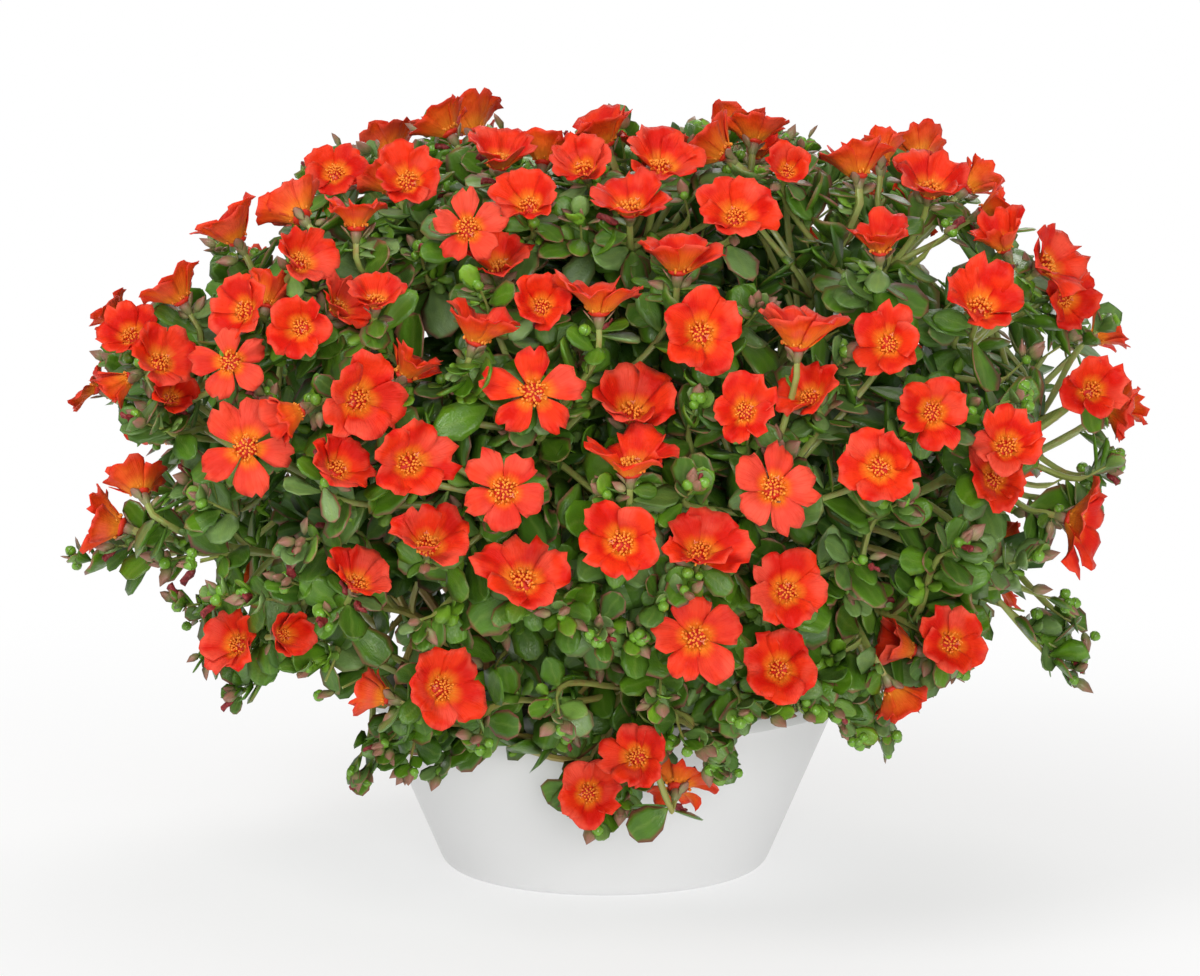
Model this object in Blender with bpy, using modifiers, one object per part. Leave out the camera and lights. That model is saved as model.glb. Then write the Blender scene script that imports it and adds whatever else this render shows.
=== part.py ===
"""A portulaca in full flower, growing as a dense round mound out of a low white bowl.

The bowl holds the soil. Nineteen forked leafy shoots rise from the soil, arch over the rim
and each carry two open flowers. All sizes are in metres and +Z points up. The origin is the
middle of the bowl's flat foot, and -Y is the side that the flowers were read from.
"""
from math import atan2, cos, hypot, pi, radians, sin

import bmesh
import bpy
from mathutils import Matrix, Vector
from mathutils.bvhtree import BVHTree

# Bowl and soil
POT_HEIGHT = 0.100
POT_RIM_RADIUS = 0.1300
POT_FOOT_RADIUS = 0.0870
POT_FOOT_ROUND = 0.0090
POT_WALL = 0.0030
POT_LIP = 0.0022
POT_LIP_DEPTH = 0.0080
SOIL_TOP = 0.0880
SOIL_GAP = 0.0010
SEAT = 0.0003
ROUND_STEPS = 40
SOIL_STEPS = 32

# The mound that the shoots fill, as a rounded box shape about its middle
MOUND_MIDDLE = Vector((0.0, 0.0, 0.235))
MOUND_HALF_WIDTH = 0.278
MOUND_HALF_DEPTH = 0.268
MOUND_RISE = 0.176
MOUND_DROP = 0.206
BOXINESS_ABOVE = 2.35
BOXINESS_BELOW = 2.0

# The view that the front flowers were read from: picture places are pixels of its frame
VIEW_TARGET = Vector((-0.0027, 0.0, 0.2055))
VIEW_DISTANCE = 2.40
VIEW_RISE = radians(8.5)
PICTURE_MIDDLE = (600, 488)
PICTURE_FOCUS = 4444
SIGHT_STEP = 0.002
SIGHT_REACH = 0.45

# Shoots: where they stand in the soil
BASE_SPREAD = 0.098
REACH_WEIGHT = 0.45
LOWNESS_WEIGHT = 0.75
SPROUT = 0.003

# Shoots: how they bend. Shares are of the straight distance from the soil to the tip.
LEVEL_HEIGHT = 0.175
LIFT_OVER = 0.11
SINK_OVER = 0.05
STEEPEST_RISE = 2.2
STEEPEST_FALL = -2.0
RISE_SHARE = 0.42
LEAN_SHARE = 0.10
ARRIVAL_SHARE = 0.36
SHORTEST_RISE = 0.075
SHORTEST_ARRIVAL = 0.065
NECK = 0.013
STEM_POINTS = 8

# Shoots: the side twig that carries the second flower
FORK_AT = 0.58
TWIG_FOLLOWS_TRUNK = 0.5
TWIG_LEAVE_SHARE = 0.35
TWIG_ARRIVAL_SHARE = 0.30
TWIG_FACING_WEIGHT = 0.6
TWIG_POINTS = 5
STEM_RADIUS = 0.0021
TWIG_RADIUS = 0.0014
UNION_WELD = 0.0000001

# Leaves. Shares are of the points of the trunk or twig that the leaves stand on.
LEAF_LENGTH = 0.026
LEAF_WIDTH = 0.0135
LEAF_THICKNESS = 0.0026
LEAF_STALK_WIDTH = 0.85
LEAF_TIP_GAIN = 0.42
LEAF_SPLAY = radians(62)
LEAF_CLEARANCE = 1.10
TRUNK_LEAVES = 10
TRUNK_LEAF_SHARES = (0.30, 0.86)
TWIG_LEAVES = 3
TWIG_LEAF_SHARES = (0.36, 0.74)
TURNS_TRIED = 6
GOLDEN_ANGLE = radians(137.5)

# Flowers. Shares are of the flower's radius.
PETAL_WALL = 0.0012
PETALS = 5
NOTCH_SHARE = 0.10
CUP_SHARE = 0.60
CUP_BELLY = 0.55
BACK_FLOWER_LIFT = 0.55
BACK_FLOWER_LIFT_GAIN = 0.90

# Two flowers of each front shoot: pixel across, pixel down, diameter in millimetres,
# and which way the flower faces as right, up and towards the viewer.
FRONT_SHOOTS = (
    ((118, 526, 40, (-0.85, 0.25, -0.10)), (140, 490, 34, (-0.45, 0.80, -0.40))),
    ((128, 335, 34, (-0.65, 0.45, 0.60)), (160, 362, 34, (0.45, 0.45, 0.75))),
    ((408, 182, 36, (0.00, 0.35, 0.95)), (500, 162, 40, (-0.05, 0.85, 0.50))),
    ((604, 141, 40, (-0.35, 0.90, 0.10)), (661, 167, 38, (0.15, 0.70, 0.70))),
    ((858, 172, 38, (-0.05, 0.95, -0.05)), (930, 190, 40, (0.10, 0.70, 0.65))),
    ((1091, 391, 38, (0.25, 0.15, 0.95)), (1118, 415, 34, (0.85, -0.25, 0.20))),
    ((1049, 259, 42, (0.70, 0.50, 0.50)), (1003, 245, 36, (-0.30, 0.60, 0.30))),
    ((950, 644, 40, (0.10, 0.10, 1.00)), (893, 690, 32, (0.35, -0.60, -0.20))),
    ((637, 758, 36, (-0.25, 0.10, 0.95)), (588, 793, 36, (0.10, 0.05, 1.00))),
    ((238, 645, 34, (-0.40, 0.30, 0.80)), (284, 635, 34, (0.55, 0.10, 0.80))),
    ((533, 393, 44, (0.05, 0.05, 1.00)), (504, 492, 44, (0.00, 0.10, 1.00))),
    ((772, 489, 42, (0.10, 0.15, 1.00)), (786, 592, 38, (0.10, 0.15, 0.95))),
)

# Two flowers of each back shoot: angle round from +X, height above the mound's middle as an
# angle, and diameter in millimetres.
BACK_SHOOTS = (
    ((6, 2, 40), (13, 9, 38)),
    ((42, -8, 40), (48, 0, 38)),
    ((66, 38, 42), (76, 31, 40)),
    ((90, -4, 40), (98, 3, 40)),
    ((116, 42, 40), (127, 35, 40)),
    ((136, -12, 38), (142, -4, 40)),
    ((172, 4, 40), (166, 11, 40)),
)


def clear_scene():
    """Remove every object that is in the scene."""
    for thing in list(bpy.data.objects):
        bpy.data.objects.remove(thing, do_unlink=True)


def make_collection(name):
    """Add a collection to the scene and return it."""
    collection = bpy.data.collections.new(name)
    bpy.context.scene.collection.children.link(collection)
    return collection


def make_material(name, colour, roughness):
    """Return a Principled material of one colour."""
    material = bpy.data.materials.new(name)
    material.use_nodes = True
    shader = material.node_tree.nodes["Principled BSDF"]
    shader.inputs["Base Color"].default_value = (*colour, 1.0)
    shader.inputs["Roughness"].default_value = roughness
    shader.inputs["Metallic"].default_value = 0.0
    material.diffuse_color = (*colour, 1.0)
    return material


def add_object(name, data, collection, material=None):
    """Put data in collection as an object."""
    thing = bpy.data.objects.new(name, data)
    collection.objects.link(thing)
    if material:
        data.materials.append(material)
    return thing


def mesh_of(thing, weld=0.00001):
    """Return the evaluated mesh of thing as new mesh data, with its doubles merged."""
    bpy.context.view_layer.update()
    evaluated = thing.evaluated_get(bpy.context.evaluated_depsgraph_get())
    data = bpy.data.meshes.new_from_object(evaluated)
    body = bmesh.new()
    body.from_mesh(data)
    bmesh.ops.remove_doubles(body, verts=body.verts, dist=weld)
    body.to_mesh(data)
    body.free()
    return data


# Bowl and soil

def arc(middle, radius, start, end, steps):
    """Points of a round stretch in the X and Z plane, with angles in degrees."""
    return [
        (middle[0] + radius * cos(radians(start + (end - start) * step / steps)),
         middle[1] + radius * sin(radians(start + (end - start) * step / steps)))
        for step in range(steps + 1)
    ]


def wall_slope():
    """How far the bowl's wall leans out for each metre of height."""
    return (POT_RIM_RADIUS - POT_FOOT_RADIUS) / POT_HEIGHT


def wall_radius(height):
    """Radius of the bowl's outside at a height."""
    return POT_FOOT_RADIUS + wall_slope() * height


def foot_round(radius, floor, inset):
    """The round corner between a floor and the leaning wall that stands inset from the outside."""
    lean = atan2(wall_slope(), 1.0)
    middle_height = floor + radius
    on_wall = wall_radius(middle_height) - inset
    middle = (on_wall - radius / cos(lean), middle_height)
    return arc(middle, radius, -90, -lean * 180 / pi, 4)


def turned(name, outline, steps, collection, material):
    """A solid turned about Z from an outline that starts and ends on the axis."""
    data = bpy.data.meshes.new(name)
    data.from_pydata(
        [(x, 0.0, z) for x, z in outline],
        [(spot, spot + 1) for spot in range(len(outline) - 1)],
        [],
    )
    thing = add_object(name, data, collection, material)
    screw = thing.modifiers.new("Turn", "SCREW")
    screw.axis = "Z"
    screw.steps = steps
    screw.render_steps = steps
    screw.use_merge_vertices = True
    screw.merge_threshold = 0.0001
    return thing


def make_pot(collection, material):
    """The bowl: a flat foot, a straight leaning wall and a plain rounded lip."""
    inside_foot = foot_round(POT_FOOT_ROUND - POT_WALL / 2, POT_WALL, POT_WALL)
    inside_top = wall_radius(POT_HEIGHT) - POT_WALL
    lip_outside = wall_radius(POT_HEIGHT) + POT_LIP
    lip_low = POT_HEIGHT - POT_LIP_DEPTH
    outline = [(0.0, POT_WALL)] + inside_foot
    outline += [(inside_top, POT_HEIGHT - POT_WALL / 2), (inside_top + POT_WALL / 2, POT_HEIGHT)]
    outline += [(lip_outside - POT_LIP / 2, POT_HEIGHT), (lip_outside, POT_HEIGHT - POT_LIP / 2)]
    outline += [(lip_outside, lip_low + POT_LIP / 2), (wall_radius(lip_low), lip_low - POT_LIP / 2)]
    outline += foot_round(POT_FOOT_ROUND, 0.0, 0.0)[::-1]
    outline += [(0.0, 0.0)]
    return turned("pot", outline, ROUND_STEPS, collection, material)


def make_soil(collection, material):
    """The soil, which fills the bowl to just under its lip."""
    inset = POT_WALL + SOIL_GAP
    low = foot_round(POT_FOOT_ROUND, POT_WALL + SEAT, inset)
    top = wall_radius(SOIL_TOP) - inset
    outline = [(0.0, SOIL_TOP), (top, SOIL_TOP)] + low[::-1] + [(0.0, POT_WALL + SEAT)]
    return turned("soil", outline, SOIL_STEPS, collection, material)


# Places on the mound

def mound_depth(point):
    """Below 1 inside the mound, 1 on its surface and above 1 outside it."""
    rise = point.z - MOUND_MIDDLE.z
    tall, power = (MOUND_RISE, BOXINESS_ABOVE) if rise > 0 else (MOUND_DROP, BOXINESS_BELOW)
    across = abs(point.x / MOUND_HALF_WIDTH) ** power
    deep = abs(point.y / MOUND_HALF_DEPTH) ** power
    return (across + deep + abs(rise / tall) ** power) ** (1.0 / power)


def view_axes():
    """Right, up and towards the viewer."""
    right = Vector((1.0, 0.0, 0.0))
    up = Vector((0.0, sin(VIEW_RISE), cos(VIEW_RISE)))
    near = Vector((0.0, -cos(VIEW_RISE), sin(VIEW_RISE)))
    return right, up, near


def place_seen(across, down):
    """Where the sight line through a pixel first meets the mound, or passes it closest."""
    right, up, near = view_axes()
    eye = VIEW_TARGET + near * VIEW_DISTANCE
    sight = right * (across - PICTURE_MIDDLE[0]) - up * (down - PICTURE_MIDDLE[1])
    sight = (sight - near * PICTURE_FOCUS).normalized()
    best = None
    for step in range(int(2 * SIGHT_REACH / SIGHT_STEP)):
        point = eye + sight * (VIEW_DISTANCE - SIGHT_REACH + step * SIGHT_STEP)
        depth = mound_depth(point)
        if depth <= 1.0:
            return point
        if best is None or depth < best[0]:
            best = (depth, point)
    return best[1]


def place_round(angle, rise):
    """The mound's surface at an angle round from +X and an angle above its middle."""
    flat = cos(radians(rise))
    way = Vector((flat * cos(radians(angle)), flat * sin(radians(angle)), sin(radians(rise))))
    return MOUND_MIDDLE + way / mound_depth(MOUND_MIDDLE + way)


def outward(point):
    """The level direction from the bowl's axis to a point."""
    return Vector((point.x, point.y, 0.0)).normalized()


def flower_seats():
    """For each shoot its two flowers: place, facing and diameter."""
    right, up, near = view_axes()
    shoots = []
    for shoot in FRONT_SHOOTS:
        shoots.append([
            (place_seen(across, down),
             (right * face[0] + up * face[1] + near * face[2]).normalized(),
             wide / 1000)
            for across, down, wide, face in shoot
        ])
    for shoot in BACK_SHOOTS:
        flowers = []
        for angle, rise, wide in shoot:
            place = place_round(angle, rise)
            lift = BACK_FLOWER_LIFT + BACK_FLOWER_LIFT_GAIN * sin(radians(rise))
            facing = (outward(place) + Vector((0.0, 0.0, lift))).normalized()
            flowers.append((place, facing, wide / 1000))
        shoots.append(flowers)
    return shoots


# Flowers

def turned_to(facing):
    """A rotation that takes +Z to facing."""
    return facing.to_track_quat("Z", "Y").to_matrix().to_4x4()


def is_middle(vertex):
    """Whether a vertex stands on the flower's own axis."""
    return hypot(vertex.co.x, vertex.co.y) < SEAT


def make_flower(name, place, facing, wide, collection, material):
    """An open cup of five notched petals whose foot is at place."""
    radius = wide / 2
    body = bmesh.new()
    bmesh.ops.create_circle(body, cap_ends=True, cap_tris=True, segments=2 * PETALS, radius=radius)
    for vertex in body.verts:
        if not is_middle(vertex):
            lobe = cos(PETALS * atan2(vertex.co.y, vertex.co.x))
            vertex.co *= 1.0 - NOTCH_SHARE + NOTCH_SHARE * lobe
            vertex.co.z = radius * (CUP_SHARE + NOTCH_SHARE * lobe)
    spokes = [edge for edge in body.edges if not edge.is_boundary]
    halved = bmesh.ops.subdivide_edges(body, edges=spokes, cuts=1)
    for vertex in halved["geom_inner"]:
        if isinstance(vertex, bmesh.types.BMVert):
            vertex.co.z *= CUP_BELLY
    bmesh.ops.triangulate(body, faces=body.faces)
    bmesh.ops.recalc_face_normals(body, faces=body.faces)
    if sum(face.normal.z for face in body.faces) < 0:
        bmesh.ops.reverse_faces(body, faces=body.faces)
    data = bpy.data.meshes.new(name)
    body.to_mesh(data)
    body.free()
    flower = add_object(name, data, collection, material)
    flower.matrix_world = Matrix.Translation(place) @ turned_to(facing)
    wall = flower.modifiers.new("Petal thickness", "SOLIDIFY")
    wall.thickness = PETAL_WALL
    wall.offset = 1.0
    return flower


# Shoots

def along_bend(start, leave, arrive, end, part):
    """A point of the bend from start to end, drawn towards leave and then arrive."""
    rest = 1.0 - part
    return (
        start * rest ** 3
        + leave * 3 * rest ** 2 * part
        + arrive * 3 * rest * part ** 2
        + end * part ** 3
    )


def shoot_base(tip):
    """Where in the soil the shoot of a tip stands: low and wide tips stand near the rim."""
    reach = min(hypot(tip.x, tip.y) / MOUND_HALF_WIDTH, 1.0)
    lowness = (MOUND_MIDDLE.z + MOUND_RISE - tip.z) / (MOUND_RISE + MOUND_DROP)
    spread = BASE_SPREAD * min(REACH_WEIGHT * reach + LOWNESS_WEIGHT * lowness, 1.0)
    return outward(tip) * spread + Vector((0.0, 0.0, SOIL_TOP + SEAT))


def arriving(tip):
    """The way a shoot runs as it nears a tip: up at the top, level at the sides, down below."""
    above = tip.z - LEVEL_HEIGHT
    lift = above / (LIFT_OVER if above > 0 else SINK_OVER)
    lift = max(STEEPEST_FALL, min(lift, STEEPEST_RISE))
    return (outward(tip) + Vector((0.0, 0.0, lift))).normalized()


def main_route(tip, facing):
    """Points of a shoot from the soil to the foot of its first flower."""
    base = shoot_base(tip)
    sprout = base + Vector((0.0, 0.0, SPROUT))
    neck = tip - facing * NECK
    reach = (neck - sprout).length
    rise = max(RISE_SHARE * reach, SHORTEST_RISE)
    leave = sprout + Vector((0.0, 0.0, rise)) + outward(tip) * LEAN_SHARE * reach
    arrive = neck - arriving(tip) * max(ARRIVAL_SHARE * reach, SHORTEST_ARRIVAL)
    points = [
        along_bend(sprout, leave, arrive, neck, step / STEM_POINTS)
        for step in range(STEM_POINTS + 1)
    ]
    return [base] + points + [tip - facing * SEAT]


def spot_along(route, share):
    """The point at a share of a route's points, and the way the route runs there."""
    spot = share * (len(route) - 1)
    low = min(int(spot), len(route) - 2)
    run = route[low + 1] - route[low]
    return route[low] + run * (spot - low), run.normalized()


def twig_route(trunk, tip, facing):
    """Points of a side twig from inside the shoot to the foot of its second flower."""
    start, run = spot_along(trunk, FORK_AT)
    neck = tip - facing * NECK
    reach = (neck - start).length
    leaving_way = ((neck - start).normalized() + run * TWIG_FOLLOWS_TRUNK).normalized()
    arriving_way = (facing * TWIG_FACING_WEIGHT + arriving(tip)).normalized()
    leave = start + leaving_way * TWIG_LEAVE_SHARE * reach
    arrive = neck - arriving_way * TWIG_ARRIVAL_SHARE * reach
    points = [
        along_bend(start, leave, arrive, neck, step / TWIG_POINTS)
        for step in range(TWIG_POINTS + 1)
    ]
    return points + [tip - facing * SEAT]


def tube(name, route, thick, thin, collection):
    """A closed six-sided tube along a route, tapering from thick to thin."""
    curve = bpy.data.curves.new(name, "CURVE")
    curve.dimensions = "3D"
    curve.bevel_depth = 1.0
    curve.bevel_resolution = 1
    curve.use_fill_caps = True
    spline = curve.splines.new("POLY")
    spline.points.add(len(route) - 1)
    for number, point in enumerate(route):
        spline.points[number].co = (*point, 1.0)
        spline.points[number].radius = thick + (thin - thick) * number / (len(route) - 1)
    drawn = add_object(name, curve, collection)
    data = mesh_of(drawn)
    bpy.data.objects.remove(drawn, do_unlink=True)
    return add_object(name, data, collection)


def leaf_shape(size):
    """A plump leaf along +X from its stalk end at the origin, broadest past its middle."""
    body = bmesh.new()
    quarter_turn = Matrix.Rotation(pi / 2, 4, "Z")
    bmesh.ops.create_uvsphere(body, u_segments=6, v_segments=2, radius=1.0, matrix=quarter_turn)
    for vertex in body.verts:
        along = (vertex.co.x + 1) / 2
        vertex.co.x = along * size * LEAF_LENGTH
        vertex.co.y *= size * LEAF_WIDTH / 2 * (LEAF_STALK_WIDTH + LEAF_TIP_GAIN * along)
        vertex.co.z *= size * LEAF_THICKNESS / 2
    return body


def leaf_frame(point, run, turn):
    """The leaf's place: it leaves the stem at point, turned round run and splayed from it."""
    side = run.orthogonal().normalized()
    side.rotate(Matrix.Rotation(turn, 3, run))
    way = (run * cos(LEAF_SPLAY) + side * sin(LEAF_SPLAY)).normalized()
    across = run.cross(way).normalized()
    frame = Matrix((way, across, way.cross(across))).transposed().to_4x4()
    return Matrix.Translation(point) @ frame


def tree_of(thing):
    """A search tree of an object's triangles where it stands."""
    data = mesh_of(thing)
    data.transform(thing.matrix_world)
    body = bmesh.new()
    body.from_mesh(data)
    bmesh.ops.triangulate(body, faces=body.faces)
    tree = BVHTree.FromBMesh(body)
    body.free()
    bpy.data.meshes.remove(data)
    return tree


def leaf_spots(trunk, twig):
    """Where the leaves of a shoot stand: along its trunk and then along its twig."""
    spots = []
    for route, count, (first, last) in (
        (trunk, TRUNK_LEAVES, TRUNK_LEAF_SHARES),
        (twig, TWIG_LEAVES, TWIG_LEAF_SHARES),
    ):
        for step in range(count):
            spots.append(spot_along(route, first + (last - first) * step / (count - 1)))
    return spots


def grow_leaves(number, trunk, twig, taken):
    """One mesh of the leaves that find room on a shoot, and their search trees."""
    leaves = bmesh.new()
    grown = []
    for step, (point, run) in enumerate(leaf_spots(trunk, twig)):
        size = 0.88 + 0.20 * sin(number + 3 * step)
        for attempt in range(TURNS_TRIED):
            turn = number + step * GOLDEN_ANGLE + attempt * 2 * pi / TURNS_TRIED
            frame = leaf_frame(point, run, turn)
            trial = leaf_shape(size * LEAF_CLEARANCE)
            trial.transform(frame)
            tree = BVHTree.FromBMesh(trial)
            trial.free()
            if any(tree.overlap(other) for other in taken + grown):
                continue
            leaf = leaf_shape(size)
            leaf.transform(frame)
            data = bpy.data.meshes.new("leaf")
            leaf.to_mesh(data)
            leaf.free()
            leaves.from_mesh(data)
            bpy.data.meshes.remove(data)
            grown.append(tree)
            break
    data = bpy.data.meshes.new("leaves")
    leaves.to_mesh(data)
    leaves.free()
    return data, grown


def joined(name, trunk, additions, collection, material):
    """One solid from a shoot's trunk and what grows on it."""
    for addition in additions:
        union = trunk.modifiers.new("Grown together", "BOOLEAN")
        union.operation = "UNION"
        union.solver = "EXACT"
        union.object = addition
    data = mesh_of(trunk, weld=UNION_WELD)
    for thing in [trunk] + additions:
        bpy.data.objects.remove(thing, do_unlink=True)
    return add_object(name, data, collection, material)


def build():
    """Make the whole plant and its bowl."""
    clear_scene()
    plant = make_collection("portulaca")
    workshop = make_collection("workshop")
    white = make_material("pot_white", (0.78, 0.78, 0.77), 0.38)
    earth = make_material("soil_brown", (0.055, 0.036, 0.024), 0.95)
    green = make_material("shoot_green", (0.10, 0.20, 0.07), 0.42)
    orange = make_material("petal_orange", (0.85, 0.07, 0.02), 0.45)
    solids = [make_pot(plant, white), make_soil(plant, earth)]

    shoots = flower_seats()
    for number, (place, facing, wide) in enumerate([seat for pair in shoots for seat in pair]):
        name = f"flower_{number + 1:02d}"
        solids.append(make_flower(name, place, facing, wide, plant, orange))
    taken = [tree_of(solid) for solid in solids]

    stems = []
    for (tip, facing, _), (twig_tip, twig_facing, _) in shoots:
        trunk_way = main_route(tip, facing)
        twig_way = twig_route(trunk_way, twig_tip, twig_facing)
        trunk = tube("trunk", trunk_way, STEM_RADIUS, TWIG_RADIUS, workshop)
        twig = tube("twig", twig_way, TWIG_RADIUS, TWIG_RADIUS, workshop)
        stems.append((trunk_way, twig_way, trunk, twig))
    bark = [[tree_of(trunk), tree_of(twig)] for _, _, trunk, twig in stems]

    for number, (trunk_way, twig_way, trunk, twig) in enumerate(stems):
        others = [tree for spot, pair in enumerate(bark) if spot != number for tree in pair]
        leaves, grown = grow_leaves(number, trunk_way, twig_way, taken + others)
        taken += grown
        leafage = add_object("leafage", leaves, workshop)
        joined(f"stem_{number + 1:02d}", trunk, [twig, leafage], plant, green)
    bpy.data.collections.remove(workshop)


build()
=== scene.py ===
"""A flowering portulaca in a low white bowl: its leaves, petals, buds, stems, soil and bowl.

The file is laid out as an add-on. Each operator makes one kind of piece from the shared plan
of the plant's shoots. All sizes are in metres, +Z points up and -Y is the side seen first.
"""
import random
from collections import namedtuple
from functools import cache
from itertools import product
from math import asin, atan2, cos, exp, hypot, pi, radians, sin

import bmesh
import bpy
import numpy as np
from bpy.props import FloatProperty, FloatVectorProperty, PointerProperty
from bpy.types import Operator, Panel, PropertyGroup
from mathutils import Matrix, Quaternion, Vector, noise


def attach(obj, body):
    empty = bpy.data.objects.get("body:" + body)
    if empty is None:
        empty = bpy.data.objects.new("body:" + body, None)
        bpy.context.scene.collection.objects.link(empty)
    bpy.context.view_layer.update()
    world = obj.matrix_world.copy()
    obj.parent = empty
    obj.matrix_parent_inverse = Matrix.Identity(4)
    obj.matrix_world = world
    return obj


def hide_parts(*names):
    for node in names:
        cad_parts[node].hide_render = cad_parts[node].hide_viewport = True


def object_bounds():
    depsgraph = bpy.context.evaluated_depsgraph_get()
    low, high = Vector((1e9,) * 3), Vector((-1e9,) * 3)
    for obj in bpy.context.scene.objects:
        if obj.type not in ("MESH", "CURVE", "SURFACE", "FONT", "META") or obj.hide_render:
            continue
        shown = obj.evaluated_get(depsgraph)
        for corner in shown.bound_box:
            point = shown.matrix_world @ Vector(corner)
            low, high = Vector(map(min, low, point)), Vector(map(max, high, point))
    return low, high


bl_info = {
    "name": "Potted Portulaca",
    "version": (1, 0, 0),
    "blender": (4, 5, 0),
    "location": "View3D > Sidebar > Portulaca",
    "description": "Grows a flowering portulaca in a low white bowl",
    "category": "Add Mesh",
}

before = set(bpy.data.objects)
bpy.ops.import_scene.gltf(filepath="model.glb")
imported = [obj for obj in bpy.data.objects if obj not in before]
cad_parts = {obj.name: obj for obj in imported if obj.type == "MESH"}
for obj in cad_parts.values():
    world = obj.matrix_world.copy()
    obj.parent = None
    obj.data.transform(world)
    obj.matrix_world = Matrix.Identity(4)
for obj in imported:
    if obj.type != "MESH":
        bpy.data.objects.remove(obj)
CAD_LOW, CAD_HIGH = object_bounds()
UP = Vector((0.0, 0.0, 1.0))

# Bowl and soil
POT_HEIGHT = 0.100
POT_RIM_RADIUS = 0.1300
POT_FOOT_RADIUS = 0.0870
POT_FOOT_ROUND = 0.0090
POT_LIP = 0.0022
POT_LIP_DEPTH = 0.0080
SOIL_TOP = 0.0880
SOIL_GAP = 0.0010
SEAT = 0.0003
BOWL_STEPS = 96
CORNER_STEPS = 6

# The mound that the shoots fill, as a rounded box shape about its middle
MOUND_MIDDLE = Vector((0.0, 0.0, 0.235))
MOUND_HALF_WIDTH = 0.278
MOUND_HALF_DEPTH = 0.268
MOUND_RISE = 0.176
MOUND_DROP = 0.206
BOXINESS_ABOVE = 2.35
BOXINESS_BELOW = 2.0

# The first view: picture places are pixels of its frame
VIEW_TARGET = Vector((-0.0027, 0.0, 0.2055))
VIEW_DISTANCE = 2.40
VIEW_RISE = radians(8.5)
PICTURE_WIDTH = 1200
PICTURE_MIDDLE = (600, 488)
PICTURE_FOCUS = 4444
SENSOR = 36.0
SIGHT_STEP = 0.002
SIGHT_REACH = 0.45

# Shoots: where they stand and how they bend
BASE_SPREAD = 0.098
REACH_WEIGHT = 0.45
LOWNESS_WEIGHT = 0.75
SPROUT = 0.003
LEVEL_HEIGHT = 0.175
LIFT_OVER = 0.11
SINK_OVER = 0.05
STEEPEST_RISE = 2.2
STEEPEST_FALL = -2.0
RISE_SHARE = 0.42
LEAN_SHARE = 0.10
ARRIVAL_SHARE = 0.36
SHORTEST_RISE = 0.075
SHORTEST_ARRIVAL = 0.065
NECK = 0.013
FORK_AT = 0.592
TWIG_FOLLOWS_TRUNK = 0.5
TWIG_LEAVE_SHARE = 0.35
TWIG_ARRIVAL_SHARE = 0.30
TWIG_FACING_WEIGHT = 0.6
TRUNK_POINTS = 24
TWIG_POINTS = 12
LEAFY_POINTS = 8
GOLDEN_DEGREES = 137.5
GOLDEN_ANGLE = radians(GOLDEN_DEGREES)
BACK_FLOWER_LIFT = 0.55
BACK_FLOWER_LIFT_GAIN = 0.90

# Two flowers of each front shoot: pixel across, pixel down, diameter in millimetres, which way
# the flower faces as right, up and towards the viewer, and its form.
FRONT_SHOOTS = (
    ((118, 526, 40, (-0.85, 0.25, -0.10), "cup"), (140, 490, 34, (-0.45, 0.80, -0.40), "cup")),
    ((132, 337, 34, (-0.30, 0.50, 0.80), "open"), (160, 362, 34, (0.45, 0.45, 0.75), "cup")),
    ((408, 182, 36, (0.00, 0.35, 0.95), "cup"), (500, 162, 40, (-0.05, 0.85, 0.50), "cup")),
    ((604, 141, 40, (-0.35, 0.90, 0.10), "cup"), (661, 167, 38, (0.15, 0.70, 0.70), "cup")),
    ((858, 172, 38, (-0.05, 0.95, -0.05), "cup"), (930, 190, 40, (0.10, 0.70, 0.65), "cup")),
    ((1091, 391, 38, (0.25, 0.15, 0.95), "open"), (1113, 410, 34, (0.85, -0.25, 0.20), "cup")),
    ((1044, 266, 42, (0.65, 0.50, 0.55), "open"), (1003, 245, 36, (-0.30, 0.60, 0.30), "half")),
    ((950, 644, 40, (0.10, 0.10, 1.00), "open"), (893, 690, 32, (0.35, -0.60, -0.20), "cup")),
    ((637, 758, 36, (-0.25, 0.10, 0.95), "open"), (588, 793, 36, (0.10, 0.05, 1.00), "open")),
    ((238, 645, 34, (-0.40, 0.30, 0.80), "cup"), (284, 635, 34, (0.55, 0.10, 0.80), "half")),
    ((533, 393, 44, (0.05, 0.05, 1.00), "star"), (504, 492, 44, (0.00, 0.10, 1.00), "star")),
    ((772, 489, 42, (0.10, 0.15, 1.00), "star"), (786, 592, 38, (0.10, 0.15, 0.95), "open")),
)

# Two flowers of each back shoot: angle round from +X, height above the mound's middle as an
# angle, diameter in millimetres and form.
BACK_SHOOTS = (
    ((6, 2, 33, "open"), (13, 9, 32, "cup")),
    ((42, -8, 40, "star"), (48, 0, 38, "cup")),
    ((66, 38, 42, "open"), (76, 31, 40, "cup")),
    ((90, -4, 40, "open"), (98, 3, 40, "star")),
    ((116, 42, 40, "cup"), (127, 35, 40, "open")),
    ((136, -12, 38, "cup"), (142, -4, 40, "open")),
    ((172, 4, 33, "star"), (166, 11, 31, "cup")),
)

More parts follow.
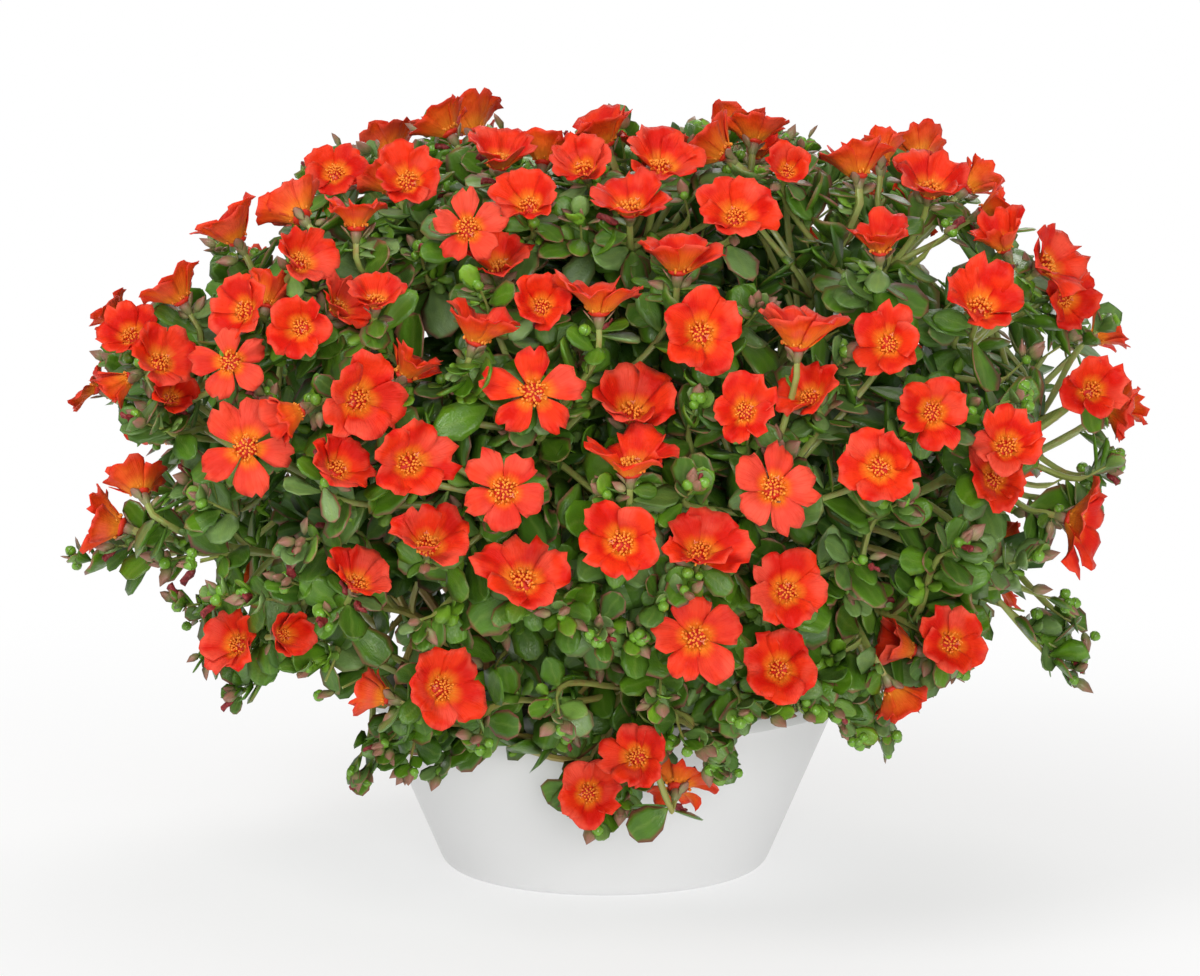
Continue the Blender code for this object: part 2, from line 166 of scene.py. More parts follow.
# The other flowers in the first view, on side shoots, in the same form as the front ones.
# One that would stand in another is moved away from the viewer, so the nearer one comes first.
SIDE_FLOWERS = (
    (231, 363, 38, (0.00, 0.05, 1.00), "star"),
    (246, 448, 42, (0.05, 0.10, 1.00), "star"),
    (409, 464, 42, (0.35, 0.10, 0.90), "open"),
    (696, 638, 46, (0.00, 0.05, 1.00), "star"),
    (622, 543, 42, (0.00, 0.15, 1.00), "open"),
    (700, 334, 42, (0.10, 0.15, 0.95), "open"),
    (523, 582, 44, (0.00, 0.45, 0.85), "open"),
    (779, 670, 40, (-0.05, 0.15, 1.00), "open"),
    (880, 468, 38, (-0.10, 0.15, 1.00), "open"),
    (1006, 447, 38, (0.10, 0.30, 0.90), "open"),
    (630, 470, 46, (0.00, 0.93, 0.30), "open"),
    (631, 413, 44, (0.05, 0.65, 0.75), "cup"),
    (700, 553, 40, (0.10, 0.50, 0.80), "cup"),
    (427, 545, 40, (0.05, 0.60, 0.75), "cup"),
    (357, 584, 34, (0.35, 0.60, 0.70), "cup"),
    (440, 688, 40, (0.40, 0.10, 0.90), "open"),
    (357, 400, 42, (0.35, -0.05, 0.90), "open"),
    (468, 230, 38, (0.00, 0.15, 0.98), "star"),
    (745, 412, 34, (-0.10, 0.15, 0.97), "open"),
    (889, 344, 36, (-0.10, 0.15, 0.97), "open"),
    (932, 412, 36, (0.00, 0.10, 1.00), "open"),
    (979, 309, 46, (0.05, 0.55, 0.80), "open"),
    (797, 342, 46, (0.00, 0.95, 0.20), "cup"),
    (736, 218, 36, (0.05, 0.40, 0.90), "cup"),
    (630, 210, 40, (0.00, 0.75, 0.60), "open"),
    (584, 170, 36, (-0.20, 0.50, 0.70), "cup"),
    (530, 205, 34, (-0.10, 0.60, 0.75), "cup"),
    (477, 338, 42, (0.35, 0.90, 0.20), "cup"),
    (599, 310, 42, (0.00, 0.97, 0.15), "open"),
    (678, 268, 38, (0.05, 0.95, 0.25), "cup"),
    (541, 307, 32, (0.05, 0.25, 0.95), "cup"),
    (499, 268, 36, (0.00, 0.80, 0.45), "cup"),
    (301, 327, 32, (-0.10, 0.10, 1.00), "open"),
    (245, 310, 34, (-0.50, 0.20, 0.80), "cup"),
    (300, 262, 34, (0.45, 0.50, 0.70), "cup"),
    (335, 174, 32, (0.00, 0.35, 0.90), "open"),
    (236, 238, 38, (-0.45, 0.85, 0.05), "cup"),
    (180, 298, 36, (-0.50, 0.80, 0.10), "cup"),
    (448, 130, 36, (-0.50, 0.85, -0.10), "cup"),
    (300, 215, 38, (-0.50, 0.60, -0.60), "cup"),
    (356, 226, 36, (0.00, 1.00, 0.05), "open"),
    (406, 374, 36, (0.50, 0.85, 0.10), "cup"),
    (337, 469, 34, (0.50, 0.50, 0.70), "cup"),
    (810, 397, 32, (-0.40, 0.60, 0.70), "cup"),
    (880, 248, 36, (0.00, 0.85, 0.45), "cup"),
    (722, 152, 38, (-0.75, 0.60, 0.05), "cup"),
    (1072, 520, 44, (0.90, -0.25, 0.25), "open"),
    (677, 790, 40, (0.20, 0.75, -0.55), "star"),
    (994, 480, 34, (0.10, 0.20, 0.95), "cup"),
    (908, 649, 38, (-0.80, 0.20, 0.20), "half"),
    (338, 309, 34, (0.60, 0.50, 0.50), "cup"),
    (268, 302, 32, (0.20, 0.80, -0.20), "half"),
    (376, 302, 30, (0.10, 0.70, 0.60), "cup"),
    (392, 188, 34, (-0.50, 0.80, -0.30), "cup"),
    (652, 160, 42, (0.10, 0.95, -0.10), "cup"),
    (543, 160, 32, (0.10, 0.90, -0.30), "cup"),
    (754, 138, 32, (0.10, 0.95, -0.20), "cup"),
    (757, 152, 28, (0.10, 0.60, 0.50), "half"),
    (788, 172, 26, (0.10, 0.30, 0.90), "half"),
    (920, 154, 32, (0.00, 0.70, -0.60), "cup"),
    (882, 160, 30, (0.10, 0.80, -0.30), "half"),
    (970, 186, 30, (0.70, 0.60, -0.10), "half"),
    (986, 211, 30, (0.80, 0.45, 0.10), "half"),
    (1064, 299, 32, (0.40, -0.10, 0.85), "open"),
    (126, 380, 30, (-0.85, -0.40, 0.10), "half"),
    (170, 398, 28, (0.20, 0.30, 0.80), "half"),
    (297, 412, 32, (-0.80, -0.35, 0.30), "half"),
    (384, 696, 30, (-0.80, 0.30, -0.20), "half"),
)

# Shoots without an open flower that show at the plant's edges: pixel across and pixel down
LEAFY_TIPS = (
    (145, 423), (131, 470), (205, 500), (183, 606), (240, 695), (355, 765), (385, 745),
    (1105, 325), (1105, 470), (1085, 630), (1060, 600), (890, 730), (1015, 400), (598, 635),
    (628, 838), (82, 560), (205, 650), (330, 780), (410, 765), (700, 745), (830, 705),
    (885, 750), (1070, 675), (1110, 464), (560, 720), (740, 715), (480, 735),
    (1030, 560), (960, 545), (860, 560), (330, 620), (420, 620), (300, 540), (200, 560),
    (660, 700), (1085, 570), (300, 705), (960, 710), (1010, 680), (325, 682), (350, 704),
    (308, 668), (342, 688), (838, 718), (852, 732), (770, 714), (800, 708), (596, 812), (622, 800),
    (687, 596), (662, 604), (276, 262), (562, 614), (381, 709), (692, 490), (290, 582), (716, 768),
    (684, 742), (708, 762), (250, 598), (222, 598), (118, 546), (981, 202), (1094, 645),
    (1072, 655), (335, 735), (365, 770),
)

# The plant's outline in the first view. Leaves and unseen flowers keep inside it.
OUTLINE = (
    (60, 560), (72, 520), (100, 484), (138, 476), (124, 440), (98, 400), (92, 345), (100, 312),
    (128, 288), (165, 262), (192, 238), (232, 208), (265, 186), (300, 158), (335, 142), (372, 140),
    (402, 122), (436, 96), (458, 118), (500, 124), (545, 134), (580, 126), (614, 98), (640, 124),
    (690, 122), (735, 110), (775, 126), (830, 146), (880, 136), (930, 130), (968, 160), (1000, 200),
    (1050, 232), (1094, 268), (1096, 305), (1090, 312), (1118, 306), (1122, 344), (1098, 352),
    (1138, 380), (1148, 430), (1108, 440), (1128, 450), (1124, 520), (1084, 560), (1060, 575),
    (1100, 625), (1080, 690), (1044, 696), (1040, 648), (985, 632), (972, 672), (930, 704),
    (896, 692), (906, 738), (880, 772), (846, 742), (822, 722), (760, 726), (745, 755), (706, 820),
    (662, 812), (634, 858), (612, 852), (580, 826), (545, 806), (528, 752), (480, 768), (412, 786),
    (350, 798), (346, 748), (378, 714), (332, 694), (294, 668), (252, 704), (224, 720), (186, 684),
    (204, 636), (170, 598), (105, 594),
)

# Places in it where no foliage hides the background: pixel across, pixel down and radius
OPENINGS = (
    (203, 562, 17), (938, 250, 24), (1002, 324, 18), (1056, 370, 20), (1062, 418, 24),
    (1068, 462, 24), (1045, 488, 14), (1015, 512, 14), (1050, 575, 20), (1028, 600, 22),
    (1003, 612, 14), (165, 448, 9), (178, 474, 8), (850, 240, 9), (822, 214, 9), (258, 238, 9),
)

# Places where few leaves hide the stems in the nearer half of the plant, with the share left out
THIN_PLACES = (
    (700, 225, 34, 0.8), (645, 230, 24, 0.8), (770, 235, 34, 0.8), (890, 225, 44, 0.7),
    (960, 290, 30, 0.6), (985, 360, 40, 0.6), (265, 520, 34, 0.8), (455, 480, 22, 0.6),
    (420, 600, 26, 0.6), (870, 545, 26, 0.6), (690, 715, 24, 0.7), (230, 440, 24, 0.7),
)
NEARER_HALF = 0.06


# Materials

def new_material(name):
    """A Principled material and its node tree."""
    material = bpy.data.materials.new(name)
    material.use_nodes = True
    return material, material.node_tree, material.node_tree.nodes["Principled BSDF"]


def add_node(tree, kind, **values):
    """A node of a kind, with its own settings."""
    node = tree.nodes.new("ShaderNode" + kind)
    for name, value in values.items():
        setattr(node, name, value)
    return node


def set_inputs(node, **values):
    """Set a node's inputs by name, with _ for a space."""
    for name, value in values.items():
        node.inputs[name.replace("_", " ")].default_value = value
    return node


def mixed(tree, share, first, second, blend="MIX"):
    """The output of a colour mix. Share, first and second are sockets or plain values."""
    node = add_node(tree, "Mix", data_type="RGBA", blend_type=blend)
    for socket, value in ((0, share), (6, first), (7, second)):
        if isinstance(value, bpy.types.NodeSocket):
            tree.links.new(value, node.inputs[socket])
        else:
            node.inputs[socket].default_value = value
    return node.outputs[2]


def ramp(tree, source, stops, smooth="LINEAR"):
    """The colour output of a ramp over a value. Each stop is a place and a colour."""
    node = add_node(tree, "ValToRGB")
    node.color_ramp.interpolation = smooth
    elements = node.color_ramp.elements
    while len(elements) < len(stops):
        elements.new(0.5)
    for element, (place, colour) in zip(elements, stops):
        element.position = place
        element.color = (*colour, 1.0)
    tree.links.new(source, node.inputs[0])
    return node.outputs[0]


def spread(tree, source, low, high, least, most):
    """A value carried from the range low to high over to least to most, and held inside it."""
    node = add_node(tree, "MapRange", interpolation_type="SMOOTHSTEP")
    for socket, value in ((1, low), (2, high), (3, least), (4, most)):
        node.inputs[socket].default_value = value
    tree.links.new(source, node.inputs[0])
    return node.outputs[0]


def figured(tree, operation, first, second):
    """The output of a sum on two sockets or plain values."""
    node = add_node(tree, "Math", operation=operation)
    for socket, value in ((0, first), (1, second)):
        if isinstance(value, bpy.types.NodeSocket):
            tree.links.new(value, node.inputs[socket])
        else:
            node.inputs[socket].default_value = value
    return node.outputs[0]


def mottle(tree, scale, detail=2.0, stretch=None, source="Object"):
    """Noise over the object's own coordinates or its UV map, stretched if asked."""
    where = add_node(tree, "TexCoord").outputs[source]
    if stretch:
        mapping = add_node(tree, "Mapping")
        mapping.inputs["Scale"].default_value = stretch
        tree.links.new(where, mapping.inputs[0])
        where = mapping.outputs[0]
    texture = add_node(tree, "TexNoise")
    set_inputs(texture, Scale=scale, Detail=detail)
    tree.links.new(where, texture.inputs["Vector"])
    return texture.outputs[0]


def along_and_across(tree):
    """The U and V of the piece's own map: along a leaf or petal, and across it."""
    split = add_node(tree, "SeparateXYZ")
    tree.links.new(add_node(tree, "TexCoord").outputs["UV"], split.inputs[0])
    return split.outputs[0], split.outputs[1]


def shade(tree, name):
    """The value that each copy holds under a name."""
    return add_node(tree, "Attribute", attribute_name=name).outputs["Fac"]


def roughen(tree, shader, source, distance, strength=0.5):
    """Bump from a height."""
    bump = add_node(tree, "Bump")
    set_inputs(bump, Strength=strength, Distance=distance)
    tree.links.new(source, bump.inputs["Height"])
    tree.links.new(bump.outputs[0], shader.inputs["Normal"])


def darker(colour, share):
    """A colour times a share."""
    return tuple(part * share for part in colour)


def midway(first, second):
    """The colour halfway between two."""
    return tuple((one + other) / 2 for one, other in zip(first, second))


def tinted(tree, share, base, colour):
    """A base colour with a share of a plain colour laid over it."""
    return mixed(tree, share, base, (*colour, 1.0))


def paint(tree, shader, base, uneven=None, least=0.0, most=1.0):
    """Give a surface its colour, and a roughness that follows an uneven pattern if there is one."""
    tree.links.new(base, shader.inputs["Base Color"])
    if uneven:
        tree.links.new(spread(tree, uneven, 0.3, 0.7, least, most), shader.inputs["Roughness"])


@cache
def leaf_material():
    """Succulent leaf: green by age, deeper green as a painted shade inside the plant, a pale midrib and
    stalk end, and a red edge on some.
    """
    greens = bpy.context.scene.portulaca_leaf
    material, tree, shader = new_material("leaf_green")
    along, across = along_and_across(tree)
    young, grown, deep = greens.young_colour, greens.grown_colour, greens.deep_and_shade_colour
    # The pale grey-green tone is partly the leaves' own grey bloom and partly a painted sheen
    base = ramp(
        tree, shade(tree, "tone"),
        ((0.0, deep), (0.30, grown), (0.48, greens.fresh_colour), (0.60, grown),
         (0.78, greens.pale_colour), (0.93, young), (1.0, young)),
    )
    cloud = mottle(tree, 130.0, detail=1.0)
    base = tinted(tree, spread(tree, cloud, 0.35, 0.7, 0.0, 0.35), base, darker(deep, 0.8))
    off_middle = figured(tree, "ABSOLUTE", figured(tree, "SUBTRACT", across, 0.5), 0.0)
    rib = spread(tree, off_middle, 0.0, 0.10, 0.22, 0.0)
    base = tinted(tree, rib, base, greens.rib_colour)
    stalk = spread(tree, along, 0.0, 0.22, 0.75, 0.0)
    base = tinted(tree, stalk, base, greens.rib_colour)
    edge = spread(tree, off_middle, 0.34, 0.48, 0.0, 1.0)
    tip = spread(tree, along, 0.88, 0.98, 0.0, 1.0)
    rim = figured(tree, "MAXIMUM", edge, tip)
    blush = spread(tree, shade(tree, "blush"), 0.45, 1.0, 0.0, 0.85)
    base = tinted(tree, figured(tree, "MULTIPLY", rim, blush), base, greens.edge_colour)
    paint(tree, shader, base, cloud, 0.28, 0.42)
    grain = mottle(tree, 900.0, detail=0.0)
    veins = mottle(tree, 9.0, detail=1.0, stretch=(1.0, 3.0, 1.0), source="UV")
    height = figured(tree, "ADD", grain, figured(tree, "MULTIPLY", veins, 1.5))
    roughen(tree, shader, height, 0.0004, 0.35)
    set_inputs(shader, Specular_IOR_Level=0.42)
    return material


def petal_surface(name, stops, shade_share):
    """A petal side: its colours from the foot outwards, with fine streaks, patches of painted shade,
    patches of painted highlight and a painted sheen at the margin.
    """
    flowers = bpy.context.scene.portulaca_flower
    material, tree, shader = new_material(name)
    along, _ = along_and_across(tree)
    wave = mottle(tree, 1.0, detail=1.0, stretch=(1.4, 5.0, 1.0), source="UV")
    wander = figured(tree, "MULTIPLY", figured(tree, "SUBTRACT", wave, 0.5), 0.16)
    base = ramp(tree, figured(tree, "ADD", along, wander), stops)
    far = spread(tree, along, 0.30, 0.60, 0.0, 1.0)
    # Painted shade: deep red patches towards the margin stand for the shade in the petal's folds. The share
    # is smaller on the outside.
    shade_noise = mottle(tree, 75.0, detail=1.0)
    painted_shade = figured(tree, "MULTIPLY", spread(tree, shade_noise, 0.40, 0.62, 0.0, shade_share), far)
    base = tinted(tree, painted_shade, base, flowers.deep_and_shade_colour)
    # Painted highlight: patches of paler coral towards the margin stand for light that shines on and
    # through the petal
    highlight_patches = mottle(tree, 48.0, detail=1.0)
    lights = figured(tree, "MULTIPLY", spread(tree, highlight_patches, 0.52, 0.68, 0.0, 0.65), far)
    base = tinted(tree, lights, base, flowers.coral_and_sheen_colour)
    # Coral tone of each flower: partly the flower's own hue and partly a painted sheen
    coral = spread(tree, shade(tree, "tone"), 0.3, 1.0, 0.0, 0.70)
    base = tinted(tree, figured(tree, "MULTIPLY", coral, far), base, flowers.coral_and_sheen_colour)
    streaks = mottle(tree, 1.0, detail=2.0, stretch=(2.0, 38.0, 1.0), source="UV")
    base = tinted(tree, spread(tree, streaks, 0.42, 0.75, 0.0, 0.35), base, flowers.deep_and_shade_colour)
    # Painted sheen: the outer edge is paler coral in waves, for light that shines through the thin margin
    outer = spread(tree, along, 0.80, 1.0, 0.0, 1.0)
    sheen_margin = figured(tree, "MULTIPLY", outer, spread(tree, wave, 0.4, 0.6, 0.0, 0.5))
    base = tinted(tree, sheen_margin, base, flowers.coral_and_sheen_colour)
    paint(tree, shader, base, streaks, 0.42, 0.60)
    folds = figured(tree, "ADD", streaks, figured(tree, "MULTIPLY", mottle(tree, 280.0, detail=1.0), 1.6))
    roughen(tree, shader, folds, 0.0009, 0.5)
    set_inputs(shader, Sheen_Weight=0.05, Sheen_Roughness=0.35, Sheen_Tint=(1.0, 0.55, 0.45, 1.0))
    set_inputs(shader, Specular_IOR_Level=0.14)
    return material


@cache
def petal_materials():
    """The inside and the outside of a petal."""
    flowers = bpy.context.scene.portulaca_flower
    vivid, deep, gold = flowers.vivid_colour, flowers.deep_and_shade_colour, flowers.gold_colour
    amber = midway(gold, vivid)
    ruddy = midway(amber, deep)
    glow_orange = midway(amber, vivid)
    inside = petal_surface(
        "petal_inside",
        ((0.0, ruddy), (0.10, amber), (0.18, gold), (0.26, gold), (0.36, amber),
         (0.50, vivid), (1.0, vivid)),
        0.95,
    )
    # Painted glow: towards its tip the outside runs to a lighter orange than the inside, and it takes less
    # painted shade, for light that shines through the petal. Its gold foot is its own colour.
    outside = petal_surface(
        "petal_outside",
        ((0.0, gold), (0.22, gold), (0.48, amber), (0.75, glow_orange), (1.0, vivid)),
        0.50,
    )
    return inside, outside


@cache
def stamen_material():
    """Filaments and anthers, from dark red to golden yellow by each copy's shade."""
    flowers = bpy.context.scene.portulaca_flower
    material, tree, shader = new_material("stamen")
    tone = shade(tree, "tone")
    base = ramp(
        tree, tone,
        ((0.0, darker(flowers.deep_and_shade_colour, 0.7)), (0.4, flowers.vivid_colour),
         (0.6, flowers.gold_colour), (1.0, flowers.pollen_colour)),
    )
    cloud = mottle(tree, 1500.0)
    base = tinted(tree, spread(tree, cloud, 0.4, 0.7, 0.0, 0.35), base, flowers.deep_and_shade_colour)
    base = tinted(tree, shade(tree, "blush"), base, flowers.style_colour)
    paint(tree, shader, base)
    roughen(tree, shader, cloud, 0.0003)
    set_inputs(shader, Roughness=0.6)
    return material


@cache
def bud_material():
    """Closed sepals: green at the foot, tan to pink-brown at the point."""
    buds = bpy.context.scene.portulaca_cluster
    material, tree, shader = new_material("bud_skin")
    along, _ = along_and_across(tree)
    green = ramp(tree, shade(tree, "tone"), ((0.0, buds.green_colour), (1.0, buds.tan_colour)))
    tip = spread(tree, along, 0.25, 0.85, 0.0, 0.9)
    base = tinted(tree, tip, green, buds.blush_colour)
    streaks = mottle(tree, 1.0, stretch=(2.0, 16.0, 1.0), source="UV")
    base = tinted(tree, spread(tree, streaks, 0.4, 0.7, 0.0, 0.5), base, buds.green_colour)
    paint(tree, shader, base, streaks, 0.38, 0.52)
    roughen(tree, shader, streaks, 0.0004)
    return material


@cache
def capsule_material():
    """The round seed capsule: glossy fresh green with a dark line and a pale collar."""
    buds = bpy.context.scene.portulaca_cluster
    material, tree, shader = new_material("capsule_skin")
    along, _ = along_and_across(tree)
    fresh, dark = buds.capsule_colour, darker(buds.capsule_colour, 0.25)
    base = ramp(
        tree, along,
        ((0.0, buds.tan_colour), (0.18, fresh), (0.44, fresh), (0.50, dark), (0.56, fresh),
         (1.0, fresh)),
    )
    cloud = mottle(tree, 420.0)
    base = tinted(tree, spread(tree, cloud, 0.4, 0.7, 0.0, 0.45), base, buds.green_colour)
    paint(tree, shader, base, cloud, 0.22, 0.34)
    return material


@cache
def withered_material():
    """A spent flower, shrunk to a dark crimson twist, paler where it has dried."""
    buds = bpy.context.scene.portulaca_cluster
    material, tree, shader = new_material("withered_petal")
    creases = mottle(tree, 600.0, detail=4.0)
    base = ramp(
        tree, creases,
        ((0.30, darker(buds.withered_colour, 0.35)), (0.55, buds.withered_colour),
         (0.75, buds.blush_colour)),
    )
    paint(tree, shader, base)
    roughen(tree, shader, creases, 0.0012, 0.8)
    set_inputs(shader, Roughness=0.62)
    return material


@cache
def bark_material():
    """Smooth succulent stem: green outside, tan to red-brown towards the middle of the plant."""
    stems = bpy.context.scene.portulaca_shoot
    material, tree, shader = new_material("stem_skin")
    where = add_node(tree, "TexCoord").outputs["Object"]
    middle = add_node(tree, "VectorMath", operation="DISTANCE")
    middle.inputs[1].default_value = (0.0, 0.0, SOIL_TOP)
    tree.links.new(where, middle.inputs[0])
    cloud = mottle(tree, 38.0, detail=3.0)
    wander = figured(tree, "MULTIPLY", figured(tree, "SUBTRACT", cloud, 0.5), 0.22)
    reach = figured(tree, "ADD", middle.outputs["Value"], wander)
    base = ramp(
        tree, figured(tree, "MULTIPLY", reach, 3.3),
        ((0.15, stems.red_colour), (0.45, stems.olive_colour), (0.70, stems.green_colour),
         (1.0, stems.green_colour)),
    )
    fine = mottle(tree, 260.0, detail=3.0)
    base = tinted(tree, spread(tree, fine, 0.45, 0.75, 0.0, 0.45), base, stems.red_colour)
    paint(tree, shader, base, fine, 0.30, 0.46)
    roughen(tree, shader, fine, 0.0006, 0.4)
    return material


@cache
def bowl_material():
    """White moulded plastic with a fine satin grain."""
    bowl = bpy.context.scene.portulaca_bowl
    material, tree, shader = new_material("bowl_white")
    cloud = mottle(tree, 7.0, detail=3.0)
    uneven = spread(tree, cloud, 0.35, 0.75, 0.0, 0.5)
    base = tinted(tree, uneven, (*bowl.colour, 1.0), darker(bowl.colour, 0.95))
    paint(tree, shader, base, cloud, 0.34, 0.42)
    roughen(tree, shader, mottle(tree, 1400.0), 0.00008, 0.25)
    return material


@cache
def soil_material():
    """Dark peat with bark crumbs and a few pale grains."""
    bowl = bpy.context.scene.portulaca_bowl
    material, tree, shader = new_material("soil_peat")
    crumbs = mottle(tree, 190.0, detail=6.0)
    base = ramp(
        tree, crumbs,
        ((0.30, darker(bowl.soil_colour, 0.4)), (0.50, bowl.soil_colour),
         (0.70, darker(bowl.soil_colour, 2.4))),
    )
    cells = add_node(tree, "TexVoronoi")
    set_inputs(cells, Scale=240.0)
    tree.links.new(add_node(tree, "TexCoord").outputs["Object"], cells.inputs["Vector"])
    pale = spread(tree, cells.outputs["Distance"], 0.0, 0.22, 1.0, 0.0)
    few = spread(tree, mottle(tree, 60.0), 0.58, 0.64, 0.0, 1.0)
    base = tinted(tree, figured(tree, "MULTIPLY", pale, few), base, bowl.grain_colour)
    paint(tree, shader, base)
    roughen(tree, shader, crumbs, 0.0015, 0.9)
    set_inputs(shader, Roughness=0.95)
    return material


# Modelling by hand

def deselect_all():
    """Leave nothing selected."""
    if bpy.context.object and bpy.context.object.mode != "OBJECT":
        bpy.ops.object.mode_set(mode="OBJECT")
    bpy.ops.object.select_all(action="DESELECT")


def choose(thing):
    """Make thing the one object that operators act on."""
    deselect_all()
    thing.select_set(True)
    bpy.context.view_layer.objects.active = thing


def start_with(add, **values):
    """Add a primitive with nothing else selected, and give it back."""
    deselect_all()
    add(**values)
    return bpy.context.object


def choose_points(thing, test):
    """In edit mode, select the points that pass a test of their place."""
    body = bmesh.from_edit_mesh(thing.data)
    for vertex in body.verts:
        vertex.select_set(bool(test(vertex.co)))
    body.select_flush(True)
    bmesh.update_edit_mesh(thing.data)


def edit(thing, whole="VERT"):
    """Enter edit mode on thing."""
    choose(thing)
    bpy.ops.object.mode_set(mode="EDIT")
    bpy.ops.mesh.select_mode(type=whole)


def leave_edit():
    """Back to object mode."""
    bpy.ops.object.mode_set(mode="OBJECT")


def resize_all(thing, value):
    """Resize the whole of a thing about its middle."""
    edit(thing)
    bpy.ops.mesh.select_all(action="SELECT")
    bpy.ops.transform.resize(value=value)
    leave_edit()


def put_uv(data, rule):
    """Write the mesh's UV map from a rule of each point's place."""
    layer = data.uv_layers.active or data.uv_layers.new(name="UVMap")
    for loop in data.loops:
        layer.data[loop.index].uv = rule(data.vertices[loop.vertex_index].co)


def make_template(thing, *materials):
    """A modelled shape's mesh as a template with its shades, and its object cleared away."""
    choose(thing)
    bpy.ops.object.transform_apply(location=True, rotation=True, scale=True)
    bpy.ops.object.shade_smooth()
    data = thing.data
    for material in materials:
        data.materials.append(material)
    for name in ("tone", "blush"):
        if name not in data.attributes:
            data.attributes.new(name, "FLOAT", "POINT")
    bpy.data.objects.remove(thing, do_unlink=True)
    return data


def grow(template, place, **shades):
    """A copy of a template's mesh at its place, with its own shades."""
    copy = template.copy()
    copy.transform(place)
    for name, value in shades.items():
        copy.attributes[name].data.foreach_set("value", [value] * len(copy.vertices))
    return copy


def join_up(name, parts):
    """One object of all parts, which are meshes in their final places."""
    deselect_all()
    things = [bpy.data.objects.new(name, part) for part in parts]
    for thing in things:
        bpy.context.scene.collection.objects.link(thing)
    for thing in things:
        thing.select_set(True)
    bpy.context.view_layer.objects.active = things[0]
    if len(things) > 1:
        bpy.ops.object.join()
    piece = bpy.context.view_layer.objects.active
    piece.name = name
    piece.data.name = name
    for part in parts[1:]:
        if part.users == 0:
            bpy.data.meshes.remove(part)
    return piece


def turned_up(name, profile, steps):
    """A closed round body raised ring by ring from its foot. The profile holds radius and height."""
    radius, height = profile[0]
    body = start_with(
        bpy.ops.mesh.primitive_circle_add, vertices=steps, radius=radius, fill_type="NGON",
        location=(0, 0, height),
    )
    body.name = name
    bpy.ops.object.transform_apply(location=True)
    edit(body, "FACE")
    bpy.ops.mesh.select_all(action="SELECT")
    for (radius, height), (wider, higher) in zip(profile, profile[1:]):
        bpy.ops.mesh.extrude_region_move(TRANSFORM_OT_translate={"value": (0, 0, higher - height)})
        share = wider / radius
        bpy.ops.transform.resize(value=(share, share, 1), center_override=(0, 0, higher))
    bpy.ops.mesh.select_all(action="SELECT")
    bpy.ops.mesh.normals_make_consistent(inside=False)
    leave_edit()
    return body


# Bowl and soil

def arc(middle, radius, start, end, steps):
    """Points of a round stretch in the X and Z plane, with angles in degrees."""
    return [
        (middle[0] + radius * cos(radians(start + (end - start) * step / steps)),
         middle[1] + radius * sin(radians(start + (end - start) * step / steps)))
        for step in range(steps + 1)
    ]


def wall_slope():
    """How far the bowl's wall leans out for each metre of height."""
    return (POT_RIM_RADIUS - POT_FOOT_RADIUS) / POT_HEIGHT


def wall_radius(height):
    """Radius of the bowl's outside at a height."""
    return POT_FOOT_RADIUS + wall_slope() * height


def foot_round(radius, floor, inset):
    """The round corner between a floor and the leaning wall that stands inset from the outside."""
    lean = atan2(wall_slope(), 1.0)
    middle_height = floor + radius
    on_wall = wall_radius(middle_height) - inset
    middle = (on_wall - radius / cos(lean), middle_height)
    return arc(middle, radius, -90, -lean * 180 / pi, CORNER_STEPS)


def model_bowl(wall):
    """The bowl: flat foot, rounded corner, straight leaning wall and a plain rounded lip."""
    lip_out = wall_radius(POT_HEIGHT) + POT_LIP
    lip_low = POT_HEIGHT - POT_LIP_DEPTH
    inside_top = wall_radius(POT_HEIGHT) - wall
    edge = POT_LIP / 2
    profile = foot_round(POT_FOOT_ROUND, 0.0, 0.0)
    profile += [(wall_radius(lip_low - edge), lip_low - edge)]
    profile += arc((lip_out - edge, lip_low + edge), edge, -60, 0, 3)
    profile += arc((lip_out - edge, POT_HEIGHT - edge), edge, 0, 90, 4)
    profile += arc((inside_top + wall / 2, POT_HEIGHT - wall / 2), wall / 2, 90, 180, 4)
    profile += foot_round(POT_FOOT_ROUND - wall / 2, wall, wall)[::-1]
    bowl = turned_up("bowl", profile, BOWL_STEPS)
    choose(bowl)
    bpy.ops.object.shade_smooth_by_angle(angle=radians(50))
    bowl.data.materials.append(bowl_material())
    return bowl


CRUMBS = 260
CRUMB_SHAPE = (1.0, 0.7, 0.5)
CRUMB_ROUGHNESS = 0.5
CRUMB_SIZES = (0.0008, 0.0022)
SOIL_RINGS = 12
SOIL_UNEVENNESS = 0.0022
SOIL_UNEVEN_SCALE = 60
SOIL_SINK = 0.0014
SOIL_SHOULDER = 0.004
SOIL_EDGE = 0.001
CLEAR_OF_WALL = 0.003


def model_crumb():
    """A rough lump of bark or peat."""
    crumb = start_with(bpy.ops.mesh.primitive_ico_sphere_add, subdivisions=1, radius=1.0)
    resize_all(crumb, CRUMB_SHAPE)
    for vertex in crumb.data.vertices:
        vertex.co *= 1.0 + CRUMB_ROUGHNESS * noise.noise(vertex.co * 3.1)
    return make_template(crumb, soil_material())


